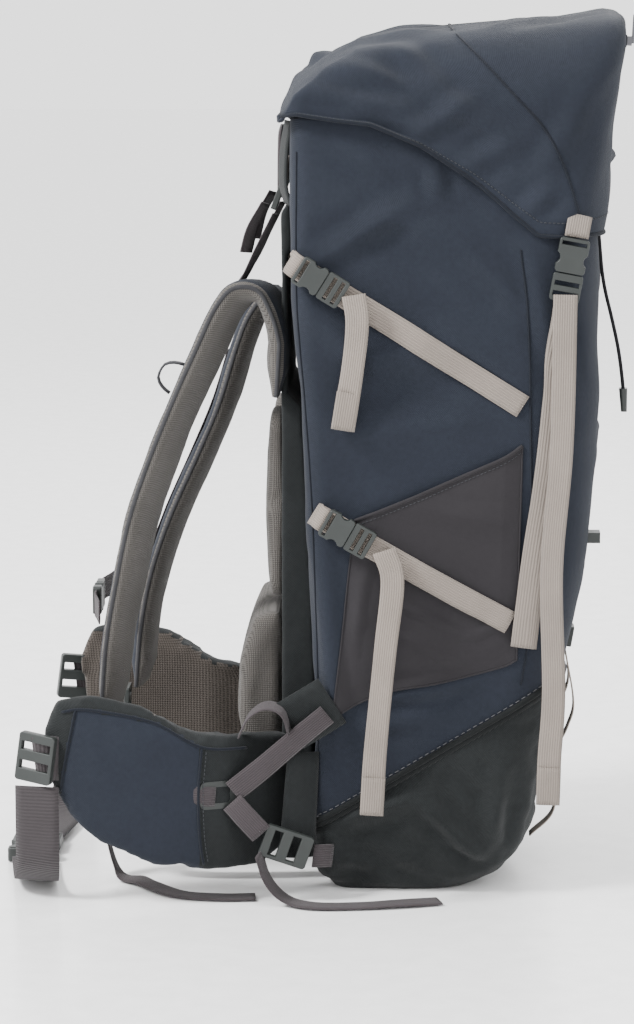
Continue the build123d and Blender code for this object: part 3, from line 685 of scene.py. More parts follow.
# Seams down the bag's sides
for side in SIDES:
    for label, line in {
        "front": [(94, 560), (101, 500), (104, 400), (105, 330), (104, 240), (98, 190)],
        "rear": [(-92, 640), (-92, 520), (-85, 430), (-79, 340), (-75, 220), (-74, 120)],
    }.items():
        points, normals = shell_line(bag_tree, line, side, 0.2 * MM)
        done(tube(f"bag {label} seam {SIDE_NAMES[side]}", points, 0.9 * MM, navy_dark), "pack")


# ---- Side stretch pockets ----
POCKET_TOP = [(-43, 332), (20, 358), (78, 384), (97, 396)]
POCKET_FOOT = [(-62, 160), (-21, 181), (29, 191), (80, 205), (94, 212)]


POCKET_Y = 149
POCKET_FOLDS = [
    ((-10, 300), (95, 232), 9, 2.6), ((-20, 265), (90, 220), 8, 2.2),
    ((0, 345), (90, 330), 12, 1.6), ((-40, 250), (60, 205), 7, 1.8),
    ((40, 225), (92, 250), 6, 1.6), ((-30, 320), (-50, 190), 8, 1.8),
]


def pocket_edge(line, cols):
    """Evenly picked points along one of the pocket's long edges."""
    path = smooth_path(np.array(line, float) * MM, 2 * MM)
    pick = np.linspace(0, 1, cols)
    return np.stack([np.interp(pick, np.linspace(0, 1, len(path)), path[:, k]) for k in (0, 1)], axis=1)


def pocket(side):
    """One side's stretch pocket, laid over the bag, with its hems and stitching."""
    cols = 80
    rows = 110
    top = pocket_edge(POCKET_TOP, cols)
    foot = pocket_edge(POCKET_FOOT, cols)
    grid = np.empty((rows, cols, 3))
    normal = np.empty_like(grid)
    for j, up in enumerate(np.linspace(0, 1, rows)):
        for i in range(cols):
            x, z = foot[i] * (1 - up) + top[i] * up
            edge = min(i, cols - 1 - i) / (cols - 1)
            rise = min(1, edge * 9) * min(1, up * 9)
            lift = (1.1 + 1.8 * rise + 2.0 * rise * up) * MM
            grid[j, i], normal[j, i] = on_shell(bag_tree, x, z, side, lift)
    y = POCKET_Y * side
    push = fractal(grid, 16, 3, 5.0) * MM
    for (x0, z0), (x1, z1), width, height in POCKET_FOLDS:
        push += fold(grid, (x0, y, z0), (x1, y, z1), width, height)
    grid = grid + normal * np.clip(push, -0.3 * MM, 3 * MM)[..., None]
    name = SIDE_NAMES[side]
    cloth = mesh_object(f"stretch pocket {name}", grid.reshape(-1, 3), grid_faces(rows, cols), [stretch])
    if side > 0:
        cloth.data.flip_normals()
    thicken(cloth, 0.8 * MM)
    done(cloth, "pack", f"side_pocket_{name}")
    for label, edge in {"top": grid[-1], "rear": grid[:, 0], "front": grid[:, -1], "foot": grid[0]}.items():
        radius = 1.5 * MM if label == "top" else 0.8 * MM
        done(tube(f"pocket {label} hem {name}", edge, radius, stretch), "pack")
    hem_row = -4
    hem = grid[hem_row] + normal[hem_row] * STITCH_LIFT
    done(stitches(f"pocket stitching {name}", hem, normal[hem_row], thread_dark), "pack")
    return [v.co[:] for v in cloth.data.vertices], [face.vertices for face in cloth.data.polygons]


pockets = [pocket(side) for side in SIDES]
side_tree = shell_tree([(bag_points, bag_faces)] + pockets)


# ---- Lid: a rounded dome over the mouth, its skirt lower at the front ----
LID_BACK = -107
LID_FRONT = 184
LID_HALF = 154
LID_TOP_X = [-107, -95, -73, -43, -8, 35, 78, 130, 168, 184]
LID_TOP_Z = [676, 698, 715, 730, 738, 741, 745, 747, 753, 752]
LID_EDGE_X = [-107, -92, -58, -31, 10, 52, 93, 120, 145, 184]
LID_EDGE_Z = [669, 671, 666, 663, 646, 619, 589, 572, 571, 572]
LID_LEAN_Z = [560, 599, 651, 711, 752]
LID_LEAN = [22, 14.5, 12, 4.5, 1]


LID_ROWS = 120
LID_BACK_CORNER = 22
LID_FRONT_CORNER = 44
LID_SPINE = (-40, 120)       # the middle line that the dome's rows close in on
LID_CROWN = 12               # how far the top falls from the middle to a side
ROUND_SIDE = 58              # the edge's rounding at the sides, front and back
ROUND_FRONT = 9
ROUND_BACK = 12
ROUND_LEAST = 4
SKIRT_LEAST = 14
SKIRT_SHARE = 0.4            # shares of the rows spent on the skirt, then on the rounding
ROUND_SHARE = 0.22


def lid_rounding(x, y, edge):
    """The radius between the skirt and the top, at a place on the outline."""
    at_front = np.clip((x - 120) / 60, 0, 1) * (1 - (abs(y) / LID_HALF) ** 4)
    at_back = np.clip((-60 - x) / 40, 0, 1)
    radius = ROUND_SIDE * (1 - at_front) * (1 - at_back) + ROUND_FRONT * at_front + ROUND_BACK * at_back
    height = np.interp(x, LID_TOP_X, LID_TOP_Z) - LID_CROWN * (abs(y) / LID_HALF) ** 2 - edge
    return max(ROUND_LEAST, min(radius, height - SKIRT_LEAST))


def lid_column(x, y, spine, edge):
    """One column of the lid, from its hem, up the skirt and over the rounding to the spine."""
    radius = lid_rounding(x, y, edge)
    reach = np.linalg.norm(np.array([x, y]) - spine)
    column = []
    for row in np.linspace(0, 1, LID_ROWS):
        climb = min(1.0, row / SKIRT_SHARE)
        turn = np.clip((row - SKIRT_SHARE) / ROUND_SHARE, 0, 1) * math.pi / 2
        past = max(0.0, (row - SKIRT_SHARE - ROUND_SHARE) / (1 - SKIRT_SHARE - ROUND_SHARE))
        share = (1 - radius * (1 - math.cos(turn)) / reach) * (1 - past)
        px, py = spine + (np.array([x, y]) - spine) * share
        top = np.interp(px, LID_TOP_X, LID_TOP_Z) - LID_CROWN * (abs(py) / LID_HALF) ** 2
        pz = edge + (top - radius * (1 - math.sin(turn)) - edge) * climb
        lean = np.interp(pz, LID_LEAN_Z, LID_LEAN) * np.clip((px - 60) / 100, 0, 1)
        column.append((px - lean, py, pz))
    return column


def lid_grid():
    """Points over the whole lid, rows from the hem to the spine."""
    columns = []
    for x, y in rounded_outline(LID_BACK, LID_FRONT, LID_HALF, LID_BACK_CORNER, LID_FRONT_CORNER, COLUMNS):
        spine = np.array([np.clip(x, *LID_SPINE), 0.0])
        columns.append(lid_column(x, y, spine, np.interp(x, LID_EDGE_X, LID_EDGE_Z)))
    return np.array(columns).transpose(1, 0, 2) * MM


LID_FOLDS = [
    ((-12, -120, 728), (44, -152, 671), 9, 3.2), ((-46, -150, 685), (14, -152, 671), 8, 2.8),
    ((23, -150, 690), (96, -152, 642), 9, 2.6), ((-94, -146, 674), (-33, -150, 661), 7, 2.4),
    ((-90, -150, 690), (-20, -150, 672), 8, 2.2), ((-60, -140, 712), (20, -150, 690), 9, 2.0),
    ((0, -152, 650), (60, -152, 690), 8, 2.0), ((40, -152, 625), (90, -152, 650), 8, 2.2),
    ((100, -150, 600), (150, -140, 700), 9, 2.4), ((150, -120, 590), (172, -90, 720), 9, 2.4),
    ((-60, -60, 722), (40, -90, 742), 12, 2.4), ((60, -100, 744), (150, -40, 750), 10, 1.8),
    ((-100, -60, 690), (-60, 40, 720), 10, 2.4), ((165, -60, 620), (172, 60, 640), 10, 2.6),
    ((90, -152, 585), (130, -150, 620), 7, 2.0), ((-40, -150, 668), (30, -152, 660), 6, 1.6),
]
lid_points, lid_normals = pushed(lid_grid(), LID_FOLDS, rough=3.4, scale=9, seed=11.3)
lid_faces = grid_faces(LID_ROWS, COLUMNS, closed=True)
lid_faces.append(tuple(range((LID_ROWS - 1) * COLUMNS, LID_ROWS * COLUMNS)))
lid = mesh_object("lid cloth", lid_points.reshape(-1, 3), lid_faces, [navy])
facing_out(lid)
thicken(lid, 2.2 * MM)
done(lid, "lid", "lid_shell")
lid_tree = BVHTree.FromPolygons([Vector(v) for v in lid_points.reshape(-1, 3)], lid_faces)

# The lid's underside: a lining panel across its pocket
PANEL_COLUMNS = 120
PANEL_RINGS = 12
PANEL_Z = 669.6
PANEL_MIDDLE = 28
under = rounded_outline(LID_BACK + 4, 163, LID_HALF - 6, 20, 42, PANEL_COLUMNS)
rings = []
for share in np.linspace(0.004, 1, PANEL_RINGS):
    ring = under * share + [PANEL_MIDDLE * (1 - share), 0]
    rings.append(np.c_[ring, np.full(PANEL_COLUMNS, PANEL_Z)] * MM)
panel = np.array(rings)
panel[..., 2] += fractal(panel, 20, 2) * 1.2 * MM * np.linspace(1, 0, PANEL_RINGS)[:, None]
panel_faces = grid_faces(PANEL_RINGS, PANEL_COLUMNS, closed=True) + [tuple(range(PANEL_COLUMNS))]
lid_lining = mesh_object("lid lining", panel.reshape(-1, 3), panel_faces, [lining])
thicken(lid_lining, 1.0 * MM)
done(lid_lining, "lid")

LID_SEAM = [(34, 741), (60, 716), (84, 691), (113, 659), (130, 626), (143, 586)]
for side in SIDES:
    name = SIDE_NAMES[side]
    points, normals = shell_line(lid_tree, LID_SEAM, side, 0.3 * MM)
    done(tube(f"lid seam {name}", points, 1.0 * MM, navy_dark), "lid")
done(tube("lid hem", closed_row(lid_points[0]), 1.7 * MM, navy_dark), "lid")
STITCHED_ROW = 5
hem_normal = closed_row(lid_normals[STITCHED_ROW])
hem_row = closed_row(lid_points[STITCHED_ROW]) + hem_normal * STITCH_LIFT
done(stitches("lid hem stitching", hem_row, hem_normal, thread_dark), "lid")


# ---- Straps over the bag ----
CLIP_HEIGHT = 10
SIDE_STRAPS = {
    "upper": {"line": [(-99, 550), (-60, 526), (-6, 493), (97, 429)], "base": 152.6,
              "tail": [(-44, 523), (-41, 500), (-45, 460), (-53, 410)]},
    "lower": {"line": [(-77, 338), (-30, 311), (30, 277), (88, 245)], "base": 155.8,
              "tail": [(-18, 309), (-11, 283), (-17, 223), (-25, 137), (-28, 82)]},
}


TAIL_SWAY = 3.0
TAIL_TUCK = 1.5              # how far its top is tucked in behind the clip
TAIL_ACROSS = (1, 0, 0.1)


def hanging_tail(name, line, side, depth):
    """A loose strap end: it hangs along an XZ line, its end folded back and sewn."""
    points = []
    for k, (x, z) in enumerate(line):
        drift = TAIL_SWAY * math.sin(k * 1.7) - (0 if k else TAIL_TUCK)
        points.append((x, side * (depth + drift), z))
    cloth = webbing(name, points, TAIL_ACROSS, beige, twist=0.4)
    end = np.array(points[-1])
    up = unit(np.array(points[-2]) - end)
    doubled = [end + up * back + [0, side * out, 0] for back, out in ((32, 1.5), (12, 2.4), (0, 1.6))]
    fold_back = webbing(name + " hem", doubled, TAIL_ACROSS, beige)
    return joined(name, [cloth, fold_back])


straps = []
for level, facts in SIDE_STRAPS.items():
    for side in SIDES:
        name = SIDE_NAMES[side]
        under_clip = facts["base"] * MM - WEB_THICK - 0.3 * MM
        cloth = shell_strap(f"{level} strap {name}", side_tree, facts["line"], side, 0.8 * MM, under_clip)
        straps.append(cloth)
        tail = hanging_tail(f"{level} tail {name}", facts["tail"], side, facts["base"] + CLIP_HEIGHT)
        done(tail, f"clip_{level}_{name}", f"side_tail_{level}_{name}")
done(joined("compression straps", straps), "pack", "compression_webbing")

LID_STRAP = [(129, 512), (119, 389), (107, 295), (99, 224)]
LID_TAIL = [(131, 524), (129, 397), (122, 294), (125, 189), (122, 132), (121, 92)]
LID_TAIL_Y = 163
LID_TAB = [(143, 152, 589), (141.5, 156, 582), (139.6, 157.2, 571)]


def on_side(line, side):
    """A line of points on the right, taken to either side."""
    return [(x, side * y, z) for x, y, z in line]


lid_straps = []
lid_tails = []
for side in SIDES:
    lid_straps.append(shell_strap(f"lid strap {side}", bag_tree, LID_STRAP, side, 4.6 * MM))
    lid_tails.append(hanging_tail(f"lid tail {side}", LID_TAIL, side, LID_TAIL_Y))
done(joined("lid straps", lid_straps), "pack", "lid_strap_webbing")
done(joined("lid strap tails", lid_tails), "pack", "lid_strap_tails")

tabs = [webbing(f"tab {side}", on_side(LID_TAB, side), (1, 0, -0.2), beige) for side in SIDES]
done(joined("lid clip tabs", tabs), "lid", "lid_clip_tabs")

ANCHOR_LENGTH = 12
ANCHOR_ROOT_Y = 146
anchors = []
for facts in SIDE_STRAPS.values():
    (x0, z0), (x1, z1) = facts["line"][0], facts["line"][1]
    slope = unit(np.array([x1 - x0, z1 - z0]))
    end = np.array([x0, z0]) + slope * ANCHOR_LENGTH
    points = [(x0 + 1, ANCHOR_ROOT_Y, z0), (x0 + 4, facts["base"] + 1.4, z0 - 2),
              (end[0], facts["base"] + 3.6, end[1])]
    for side in SIDES:
        anchors.append(webbing("anchor", on_side(points, side), (-slope[1], 0, slope[0]), beige))
done(joined("side clip anchors", anchors), "pack", "side_clip_anchors")


# ---- Padded pieces by cloth simulation over the CAD pads ----

PUFF = 4.0                   # air pressure in the pads
PUFF_LIMIT = 4 * MM
SIM_FRAMES = 15
STILL_FADE = 20 * MM


def loose_copy(node, name, material):
    """A CAD node's mesh as a new object of its own, where the node stands."""
    obj = frame["nodes"][node].copy()
    obj.data = obj.data.copy()
    obj.name = name.replace(" ", "_")
    obj.hide_render = False
    bpy.context.collection.objects.link(obj)
    obj.parent = None
    obj.matrix_world = frame["nodes"][node].matrix_world.copy()
    obj.data.materials.clear()
    obj.data.materials.append(material)
    for key in list(obj.keys()):
        del obj[key]
    bpy.ops.object.select_all(action="DESELECT")
    obj.select_set(True)
    bpy.context.view_layer.objects.active = obj
    bpy.ops.object.transform_apply(location=True, rotation=True, scale=True)
    return obj


def puffed(obj, pressure):
    """Run the cloth under air pressure and keep what it does."""
    cloth = obj.modifiers.new("cloth", "CLOTH")
    cloth.settings.use_pressure = True
    cloth.settings.uniform_pressure_force = pressure
    cloth.settings.effector_weights.gravity = 0
    cloth.settings.quality = 6
    cloth.settings.tension_stiffness = 30
    cloth.settings.compression_stiffness = 30
    cloth.settings.bending_stiffness = 2
    for number in range(1, SIM_FRAMES + 1):
        bpy.context.scene.frame_set(number)
    bpy.ops.object.modifier_apply(modifier=cloth.name)
    bpy.context.scene.frame_set(1)


def soft_copy(node, name, voxel, material, seed, pressure=PUFF, rough=0.5, still_from=None):
    """A CAD pad's shape, remeshed, puffed up and left as cloth; still past still_from in X."""
    obj = loose_copy(node, name, material)
    remesh = obj.modifiers.new("remesh", "REMESH")
    remesh.mode = "VOXEL"
    remesh.voxel_size = voxel
    bpy.ops.object.modifier_apply(modifier=remesh.name)
    easing = obj.modifiers.new("ease", "SMOOTH")
    easing.iterations = 4 if pressure else 2
    easing.factor = 0.5
    bpy.ops.object.modifier_apply(modifier=easing.name)
    rest = np.array([v.co[:] for v in obj.data.vertices])
    if pressure:
        puffed(obj, pressure)
    moved = np.array([v.co[:] for v in obj.data.vertices])
    shift = moved - rest
    size = np.linalg.norm(shift, axis=1, keepdims=True)
    shift = shift * np.minimum(1, PUFF_LIMIT / np.maximum(size, 1e-9))
    normals = np.array([v.normal[:] for v in obj.data.vertices])
    change = shift + normals * (fractal(rest, 30, 3, seed) * rough * MM)[:, None]
    if still_from is not None:
        change = change * np.clip((still_from - rest[:, :1]) / STILL_FADE, 0, 1)
    obj.data.vertices.foreach_set("co", (rest + change).ravel())
    obj.data.update()
    smoother = obj.modifiers.new("subdivide", "SUBSURF")
    smoother.levels = 1
    smoother.render_levels = 1
    obj.data.shade_smooth()
    return obj


back_pads = soft_copy("back_pads", "back pads", 4 * MM, pad_mesh, seed=1.0)
done(back_pads, "pack", "back_pads")
lumbar = soft_copy("lumbar_pad", "lumbar pad", 5 * MM, pad_mesh, seed=2.0)
done(lumbar, "pack", "lumbar_pad")
panel_cloth = soft_copy("back_panel", "back panel cloth", 2.2 * MM, charcoal, seed=3.0,
                        pressure=0, rough=0.6)
done(panel_cloth, "pack", "back_panel")

FIN_SEAM_X = -0.174
FIN_RIM_X = [-0.300, -0.268, -0.215, -0.173, -0.1]
FIN_RIM_Z = [0.168, 0.173, 0.163, 0.140, 0.132]
FIN_STILL_FROM = -0.13
FIN_CURVE = (-0.236, -0.0325)            # the middle of the curve that a fin follows
FIN_TIP = -0.289
FIN_LINES = {
    "rear": [(-172, 138), (-175, 98), (-174, 60), (-171, 36)],
    "tip": [(-278, 172), (-287, 130), (-292, 100)],
    "top": [(-290, 169), (-268, 172), (-215, 162), (-173, 139), (-135, 134)],
}


def paint_fin(fin, side):
    """Navy outside, spacer mesh inside, and charcoal on the rim, the rear part and the tip."""
    fin.data.materials.append(fin_mesh)
    fin.data.materials.append(charcoal)
    for face in fin.data.polygons:
        x, y, z = face.center
        outward = Vector((x - FIN_CURVE[0], y - side * FIN_CURVE[1], 0)).normalized()
        if face.normal.dot(outward) < 0.15 and face.normal.z < 0.75:
            face.material_index = 1
        elif z > np.interp(x, FIN_RIM_X, FIN_RIM_Z) or x > FIN_SEAM_X or x < FIN_TIP + (z - 0.12) * 0.2:
            face.material_index = 2


for side in SIDES:
    name = SIDE_NAMES[side]
    fin = soft_copy(f"hip_fin_{name}", f"hip fin {name}", 5 * MM, navy, 4.0 + side, rough=0.4,
                    still_from=FIN_STILL_FROM)
    paint_fin(fin, side)
    done(fin, f"fin_{name}", f"hip_fin_{name}")
    fin_tree = BVHTree.FromObject(fin, bpy.context.evaluated_depsgraph_get())
    for label, line in FIN_LINES.items():
        points, normals = shell_line(fin_tree, line, side, 0.3 * MM)
        done(tube(f"fin {label} piping {name}", points, 1.3 * MM, navy_dark), f"fin_{name}")
        if label != "top":
            done(stitches(f"fin {label} stitching {name}", points + [4 * MM, 0, 0], normals, thread_dark),
                 f"fin_{name}")


# ---- Shoulder straps ----
SHOULDER_LINES = {
    -1: [(-112, 430), (-110, 462), (-109, 492), (-116, 512), (-131, 513), (-146, 496), (-162, 462),
         (-181, 420), (-203, 366), (-220, 316), (-232, 262), (-242, 209), (-248, 150)],
    1: [(-114, 430), (-113, 460), (-115, 486), (-126, 500), (-141, 483), (-152, 456), (-168, 404),
        (-189, 354), (-213, 300), (-231, 247), (-241, 195), (-246, 145)],
}
STRAP_MIDDLE = 75
STRAP_ROOT_LENGTH = 75 * MM
STRAP_COLUMNS = 48
LEAN = np.array([-0.26, 0.0, 0.15])      # how the near strap tips as it leaves its root
FAR_LEAN = -0.4                          # the far strap's share of it
COVER = (0.07, 0.43)                     # share of the way round that is the outer cloth
SEWN_FROM = 0.3                          # where the webbing on a strap starts and stops
SEWN_TO = 0.93


def shoulder_strap(side):
    """One padded strap: a soft oval swept along its line, with piping and sewn-on webbing."""
    name = SIDE_NAMES[side]
    flat = smooth_path(np.array(SHOULDER_LINES[side], float) * MM, 3 * MM)
    middle = np.c_[flat[:, 0], np.full(len(flat), side * STRAP_MIDDLE * MM), flat[:, 1]]
    run = distances(flat)
    settle = np.clip((run - STRAP_ROOT_LENGTH * 0.6) / (STRAP_ROOT_LENGTH * 0.8), 0, 1)[:, None]
    lean = LEAN * (1 if side < 0 else FAR_LEAN)
    middle += lean * settle * SHOULDER_WIDTH / 2
    tangent = unit(np.gradient(middle, axis=0))
    wide = lean * settle + np.array([0, side, 0.0])
    wide = unit(wide - tangent * np.sum(tangent * wide, axis=1, keepdims=True))
    outer = np.cross(tangent, wide) * side
    outer *= -np.sign(outer[len(outer) // 2, 0])
    turn = np.linspace(0, 2 * math.pi, STRAP_COLUMNS, endpoint=False)
    across = np.sign(np.cos(turn)) * np.abs(np.cos(turn)) ** 0.7
    rise = np.sign(np.sin(turn)) * np.abs(np.sin(turn)) ** 0.8
    share = np.linspace(0, 1, len(flat))
    half_wide = SHOULDER_WIDTH / 2 * (1 - 0.18 * np.clip((share - 0.72) / 0.28, 0, 1))
    half_thick = SHOULDER_THICK / 2 * np.clip(0.35 + 14 * np.minimum(share, 1 - share), 0.35, 1)
    grid = (middle[:, None] + wide[:, None] * across[None, :, None] * half_wide[:, None, None]
            + outer[:, None] * rise[None, :, None] * half_thick[:, None, None])
    grid += outer[:, None] * (fractal(grid, 26, 3, 9.0 + side) * 0.9 * MM)[..., None]
    rows = len(flat)
    faces = grid_faces(rows, STRAP_COLUMNS, closed=True)
    side_faces = len(faces)
    faces += [tuple(range(STRAP_COLUMNS))[::-1], tuple(range(side_faces, side_faces + STRAP_COLUMNS))]
    strap = mesh_object(f"shoulder strap {name}", grid.reshape(-1, 3), faces, [navy, pad_mesh])
    facing_out(strap)
    for index, face in enumerate(strap.data.polygons):
        covered = COVER[0] <= index % STRAP_COLUMNS / STRAP_COLUMNS < COVER[1]
        face.material_index = 0 if covered and index < side_faces else 1
    done(strap, "pack", f"shoulder_strap_{name}")
    for label, sign in (("outer", 1), ("inner", -1)):
        edge = middle + wide * sign * (half_wide * 0.985)[:, None] + outer * MM
        done(tube(f"strap {label} piping {name}", edge, 2.0 * MM, grey_binding), "pack")
    ridge = middle + outer * (half_thick + 0.9 * MM)[:, None]
    cover = ridge[:, None] + wide[:, None] * ACROSS[None, :, None] * WEB
    sewn = slice(int(rows * SEWN_FROM), int(rows * SEWN_TO))
    band = strip(f"strap webbing {name}", cover[sewn], outer[sewn], WEB_THICK, taupe)
    done(band, "pack")


for side in SIDES:
    shoulder_strap(side)


# ---- Harness webbing ----
# Each band on the right: its points, its width direction and its cloth
HARNESS_BANDS = {
    "lifter": ([(-112.5, 70, 583), (-126, 70.7, 556), (-141, 71.4, 526), (-166, 73.5, 492)],
               (0.4, 1, 0.3), taupe),
    "lifter root": ([(-101.5, 70, 632), (-102.5, 70, 612)], (0, 1, 0), beige),
    "lower": ([(-254, 74, 112), (-251, 74, 62), (-205, 74, 27), (-150, 74, 22), (-84, 74, 44)],
              (0, 1, 0), taupe),
}
HARNESS_TAILS = {
    "lifter tail": ([(-121, 70, 592), (-132, 70, 572), (-138, 70, 550)], (0.6, 1, 0.3), taupe),
    "strap tail": ([(-261, 74, 116), (-264, 74, 60), (-252, 78, 8), (-228, 100, 3.5), (-196, 134, 2.4),
                    (-160, 143, 2.4), (-128, 141, 2.4)], (0, 1, 0), taupe),
    "stabiliser tail": ([(-124, 161, 46), (-116, 160, 22), (-100, 158, 5), (-76, 168, 2.6), (-40, 166, 2.4),
                         (-6, 160, 3.2), (30, 149, 2.4)], (0.25, 1, 0), taupe),
}
STABILISERS = {
    "upper": [(-146, 158.5, 99), (-120, 157, 120), (-92, 154, 144), (-66, 150, 165)],
    "lower": [(-147, 158.5, 90), (-136, 160.5, 78), (-122, 158, 62)],
}
STABILISER_ROOT = [(-78, 149.6, 41), (-72, 146, 40), (-62, 133, 37)]


def bands(name, facts):
    """All the bands of one kind, on both sides, as one object."""
    made = [webbing(label, on_side(line, side), across, item)
            for side in SIDES for label, (line, across, item) in facts.items()]
    return joined(name, made)


done(bands("harness webbing", HARNESS_BANDS), "pack", "harness_webbing")
done(bands("harness tails", HARNESS_TAILS), "pack", "harness_tails")

for side in SIDES:
    name = SIDE_NAMES[side]
    for label, facts in STABILISERS.items():
        line = on_side(facts, side)
        piece = webbing(f"stabiliser {label} {name}", line, (0.5, 0, 0.8), taupe)
        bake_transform(piece)
        if label == "upper" and side < 0:
            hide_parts("stabiliser_webbing")
    root = webbing(f"stabiliser root {name}", on_side(STABILISER_ROOT, side), (0, 0, 1), taupe)
    done(root, "pack")

# The haul loop stands flat against the back
HAUL_LINE = [(-42, 600), (-36, 634), (-20, 645), (20, 645), (36, 634), (42, 600)]
HAUL_X = -109.5 * MM
HAUL_WIDTH = WEB * 0.9
path = smooth_path(np.array(HAUL_LINE, float) * MM)
wide = flat_across(path)
haul_grid = np.array([[(HAUL_X, *(place + across * share * HAUL_WIDTH)) for share in ACROSS]
                      for place, across in zip(path, wide)])
haul = strip("haul loop webbing", haul_grid, np.tile([-1.0, 0, 0], (len(path), 1)), 3 * MM, taupe)
done(haul, "haul", "haul_loop")

# Small loops on the shoulder straps: places along and out from a strap's face
LOOP_PLACES = [(-201, -78, 444), (-199, 78, 400)]
LOOP_SHAPE = [(-14, -4), (-12, 4), (-6, 11), (6, 11), (12, 4), (14, -4)]
LOOP_ALONG = np.array([0.45, 0, 0.89])
LOOP_OUT = np.array([-0.89, 0, 0.45])
loops = []
for place in LOOP_PLACES:
    points = [place + LOOP_ALONG * along + LOOP_OUT * out for along, out in LOOP_SHAPE]
    loops.append(webbing("strap loop", points, (0, 1, 0), grey_binding, 10 * MM, 2 * MM))
done(joined("strap loops", loops), "pack", "strap_loops")


# ---- Hip webbing in a slack U down to the closed buckle ----
HIP_START = (-312, 168)
HIP_DRIFT = 0.15             # how far the webbing runs back for each step inwards
HIP_DROP = [(2, 104), (3, 70), (10, 38), (34, 15), (64, 8), (100, 6.5), (131, 7)]


def hip_strap(side):
    """One half of the hip webbing, with its steps inwards and their heights."""
    name = SIDE_NAMES[side]
    line = [(HIP_START[0] - HIP_DRIFT * inward, side * (HIP_START[1] - inward), z) for inward, z in HIP_DROP]
    across = (1, HIP_DRIFT * side, 0)
    cloth = webbing(f"hip webbing {name}", line, across, taupe_cross, HIP_WEB, HIP_WEB_THICK)
    done(cloth, f"fin_{name}", f"hip_webbing_{name}")


for side in SIDES:
    hip_strap(side)

# ---- Sternum strap ----
STERNUM_LINE = [(-266, 78, 237), (-270, 56, 237), (-274, 36, 237), (-274, 22.5, 237)]


def sternum_half(side):
    return webbing(f"sternum strap {SIDE_NAMES[side]}", on_side(STERNUM_LINE, side), (0, 0, 1), taupe)


done(sternum_half(-1), "sternum", "sternum_webbing")
sliding = sternum_half(1)
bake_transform(sliding)

# ---- Front gear loops ----
GEAR_LINE = [(138.5, 58, 202), (146, 58, 158), (141, 59, 136), (129, 57, 106), (130, 58, 62), (109, 58, 38)]
gear = [webbing("gear loop", on_side(GEAR_LINE, side), (0, 1, 0), beige, 16 * MM) for side in SIDES]
done(joined("front gear loops", gear), "pack", "front_gear_loops")

# ---- Snow collar: a gathered cloth tube inside the mouth ----
COLLAR_LOW = 590
COLLAR_HIGH = 663
COLLAR_COLUMNS = 240
COLLAR_ROWS = 26
COLLAR_MIDDLE = 24
COLLAR_GATHERS = 34
GATHER_DEPTH = 0.012
COLLAR_INSET = 0.05
ring = rounded_outline(-86, 134, 133, 34, 34, COLLAR_COLUMNS)
wave = np.sin(np.arange(COLLAR_COLUMNS) * 2 * math.pi / COLLAR_COLUMNS * COLLAR_GATHERS)
collar_rows = []
for up in np.linspace(0, 1, COLLAR_ROWS):
    height = COLLAR_LOW + (COLLAR_HIGH - COLLAR_LOW) * up
    spread = (1 + GATHER_DEPTH * up * wave[:, None]) * (1 - COLLAR_INSET * up)
    row = (ring - [COLLAR_MIDDLE, 0]) * spread + [COLLAR_MIDDLE, 0]
    collar_rows.append(np.c_[row, np.full(COLLAR_COLUMNS, height)] * MM)
collar = mesh_object("snow collar cloth", np.array(collar_rows).reshape(-1, 3),
                     grid_faces(COLLAR_ROWS, COLLAR_COLUMNS, closed=True), [lining])
thicken(collar, 0.8 * MM)
done(collar, "pack", "snow_collar")


# ---- Small cloth pieces at the back edge and the hip ----
HINGE_CLOTH = [(-94, 0, 660), (-98, 0, 665.5), (-102, 0, 667.5), (-106.5, 0, 668.5)]
done(webbing("lid hinge cloth", HINGE_CLOTH, (0, 1, 0), navy, 224 * MM, 1.2 * MM), "pack")

LID_ANCHOR = [(-100, 108, 664), (-104, 109, 640), (-105, 108, 612), (-101, 106, 594)]
HIP_WING = [(-62, 144.2, 176), (-78, 145.4, 166), (-98, 146.6, 154)]
BELT_ROOT = [(-104, 143, 84), (-92, 141, 83), (-76, 132, 82)]
GRAB_LOOP = [(-98, 153, 150), (-104, 155, 168), (-118, 154, 173), (-132, 152, 164), (-141, 150, 146)]
RING_TAB = [(-184, 164.6, 97), (-172, 163.6, 96), (-161, 160, 95)]
HIP_WRAP = [(-292, 163.5, 128), (-304, 166, 129), (-314, 165, 128)]
UP = (0, 0, 1)
for side in SIDES:
    name = SIDE_NAMES[side]
    for label, body, line, across, item, width, thick in (
        ("lid anchor tab", "pack", LID_ANCHOR, (0.25, side, 0), charcoal, 30 * MM, 2.5 * MM),
        ("hip wing", "pack", HIP_WING, (0.45, 0, 1), charcoal, 46 * MM, 2.5 * MM),
        ("belt root", "pack", BELT_ROOT, UP, charcoal, 92 * MM, 3 * MM),
        ("grab loop", "pack", GRAB_LOOP, (0.1, 1, 0.2), taupe, 18 * MM, WEB_THICK),
        ("ring tab", f"fin_{name}", RING_TAB, UP, taupe, 17 * MM, 2 * MM),
        ("hip wrap", f"fin_{name}", HIP_WRAP, UP, taupe_cross, HIP_WEB, HIP_WEB_THICK),
    ):
        done(webbing(f"{label} {name}", on_side(line, side), across, item, width, thick), body)

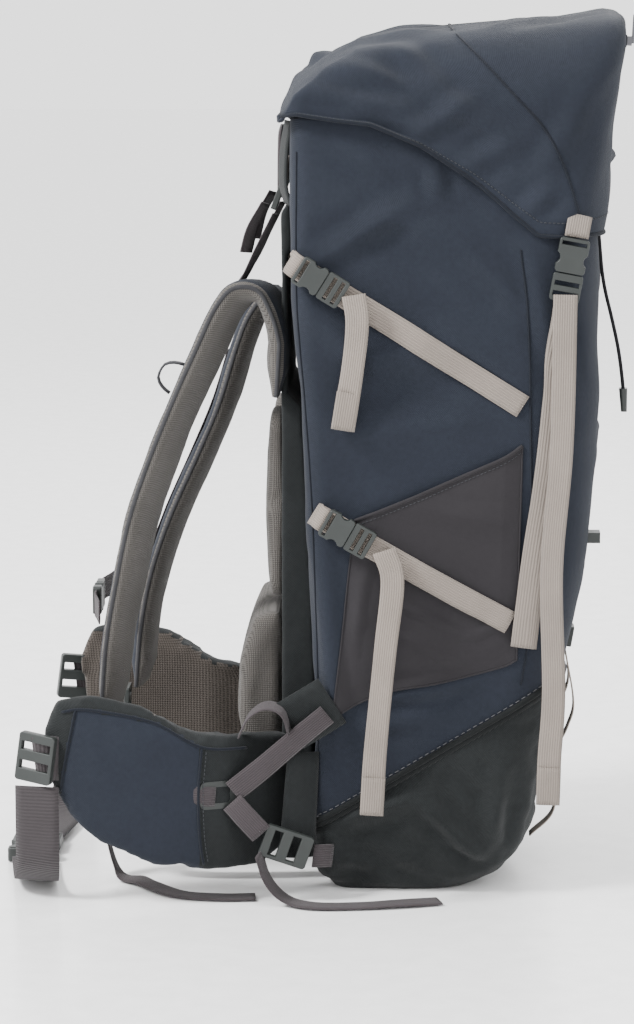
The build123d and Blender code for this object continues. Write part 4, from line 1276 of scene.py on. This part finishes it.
# ---- Free cords: the collar drawcord's two strands ----
CORD = 0.003
CORD_PLACES = {"left": -0.084, "right": -0.090}
CORD_LINE = [(0.157, 0.634), (0.158, 0.602), (0.1618, 0.562), (0.165, 0.528), (0.174, 0.494), (0.181, 0.462),
             (0.1836, 0.437)]
for name, y in CORD_PLACES.items():
    data = bpy.data.curves.new(f"drawcord_cloth_{name}", "CURVE")
    data.dimensions = "3D"
    data.bevel_depth = CORD / 2
    data.bevel_resolution = 4
    data.resolution_u = 12
    data.use_fill_caps = True
    spline = data.splines.new("NURBS")
    spline.points.add(len(CORD_LINE) - 1)
    for point, (x, z) in zip(spline.points, CORD_LINE):
        point.co = (x, y, z, 1)
    spline.order_u = 3
    spline.use_endpoint_u = True
    cord = bpy.data.objects.new(f"drawcord_cloth_{name}", data)
    bpy.context.collection.objects.link(cord)
    data.materials.append(cord_black)
    done(cord, "pack", f"drawcord_{name}")


# ---- Floor, light and camera ----
floor_material = plain("studio floor", (0.93, 0.93, 0.93), 0.22)
floor_corners = [(-8, -8, 0), (8, -8, 0), (8, 14, 0), (-8, 14, 0)]
floor = mesh_object("floor", floor_corners, [(0, 1, 2, 3)], [floor_material])
world = bpy.data.worlds.new("studio")
bpy.context.scene.world = world
world.use_nodes = True
sky = world.node_tree.nodes["Background"]
sky.inputs["Color"].default_value = (1, 1, 1, 1)
sky.inputs["Strength"].default_value = 2.15


def soft_light(name, place, target, size, power):
    data = bpy.data.lights.new(name, "AREA")
    data.shape = "DISK"
    data.size = size
    data.energy = power
    lamp = bpy.data.objects.new(name, data)
    bpy.context.collection.objects.link(lamp)
    lamp.location = place
    lamp.rotation_euler = (Vector(target) - Vector(place)).to_track_quat("-Z", "Y").to_euler()


AIM = Vector((-0.080, 0, 0.314))
soft_light("key light", (-2.1, -1.1, 2.5), AIM, 0.8, 190)
soft_light("fill light", (2.4, -1.6, 1.2), AIM, 1.4, 16)
soft_light("rim light", (0.5, 2.4, 2.2), AIM, 1.2, 50)

CAMERA_DISTANCE = 3.0
AZIMUTH = math.radians(2)
ELEVATION = math.radians(9.5)
camera_data = bpy.data.cameras.new("camera")
camera_data.lens = 119.2
camera_data.sensor_width = 36
camera = bpy.data.objects.new("camera", camera_data)
bpy.context.collection.objects.link(camera)
back = Vector((math.sin(AZIMUTH) * math.cos(ELEVATION), -math.cos(AZIMUTH) * math.cos(ELEVATION),
               math.sin(ELEVATION)))
camera.location = AIM + back * CAMERA_DISTANCE
camera.rotation_euler = (-back).to_track_quat("-Z", "Y").to_euler()
bpy.context.scene.camera = camera
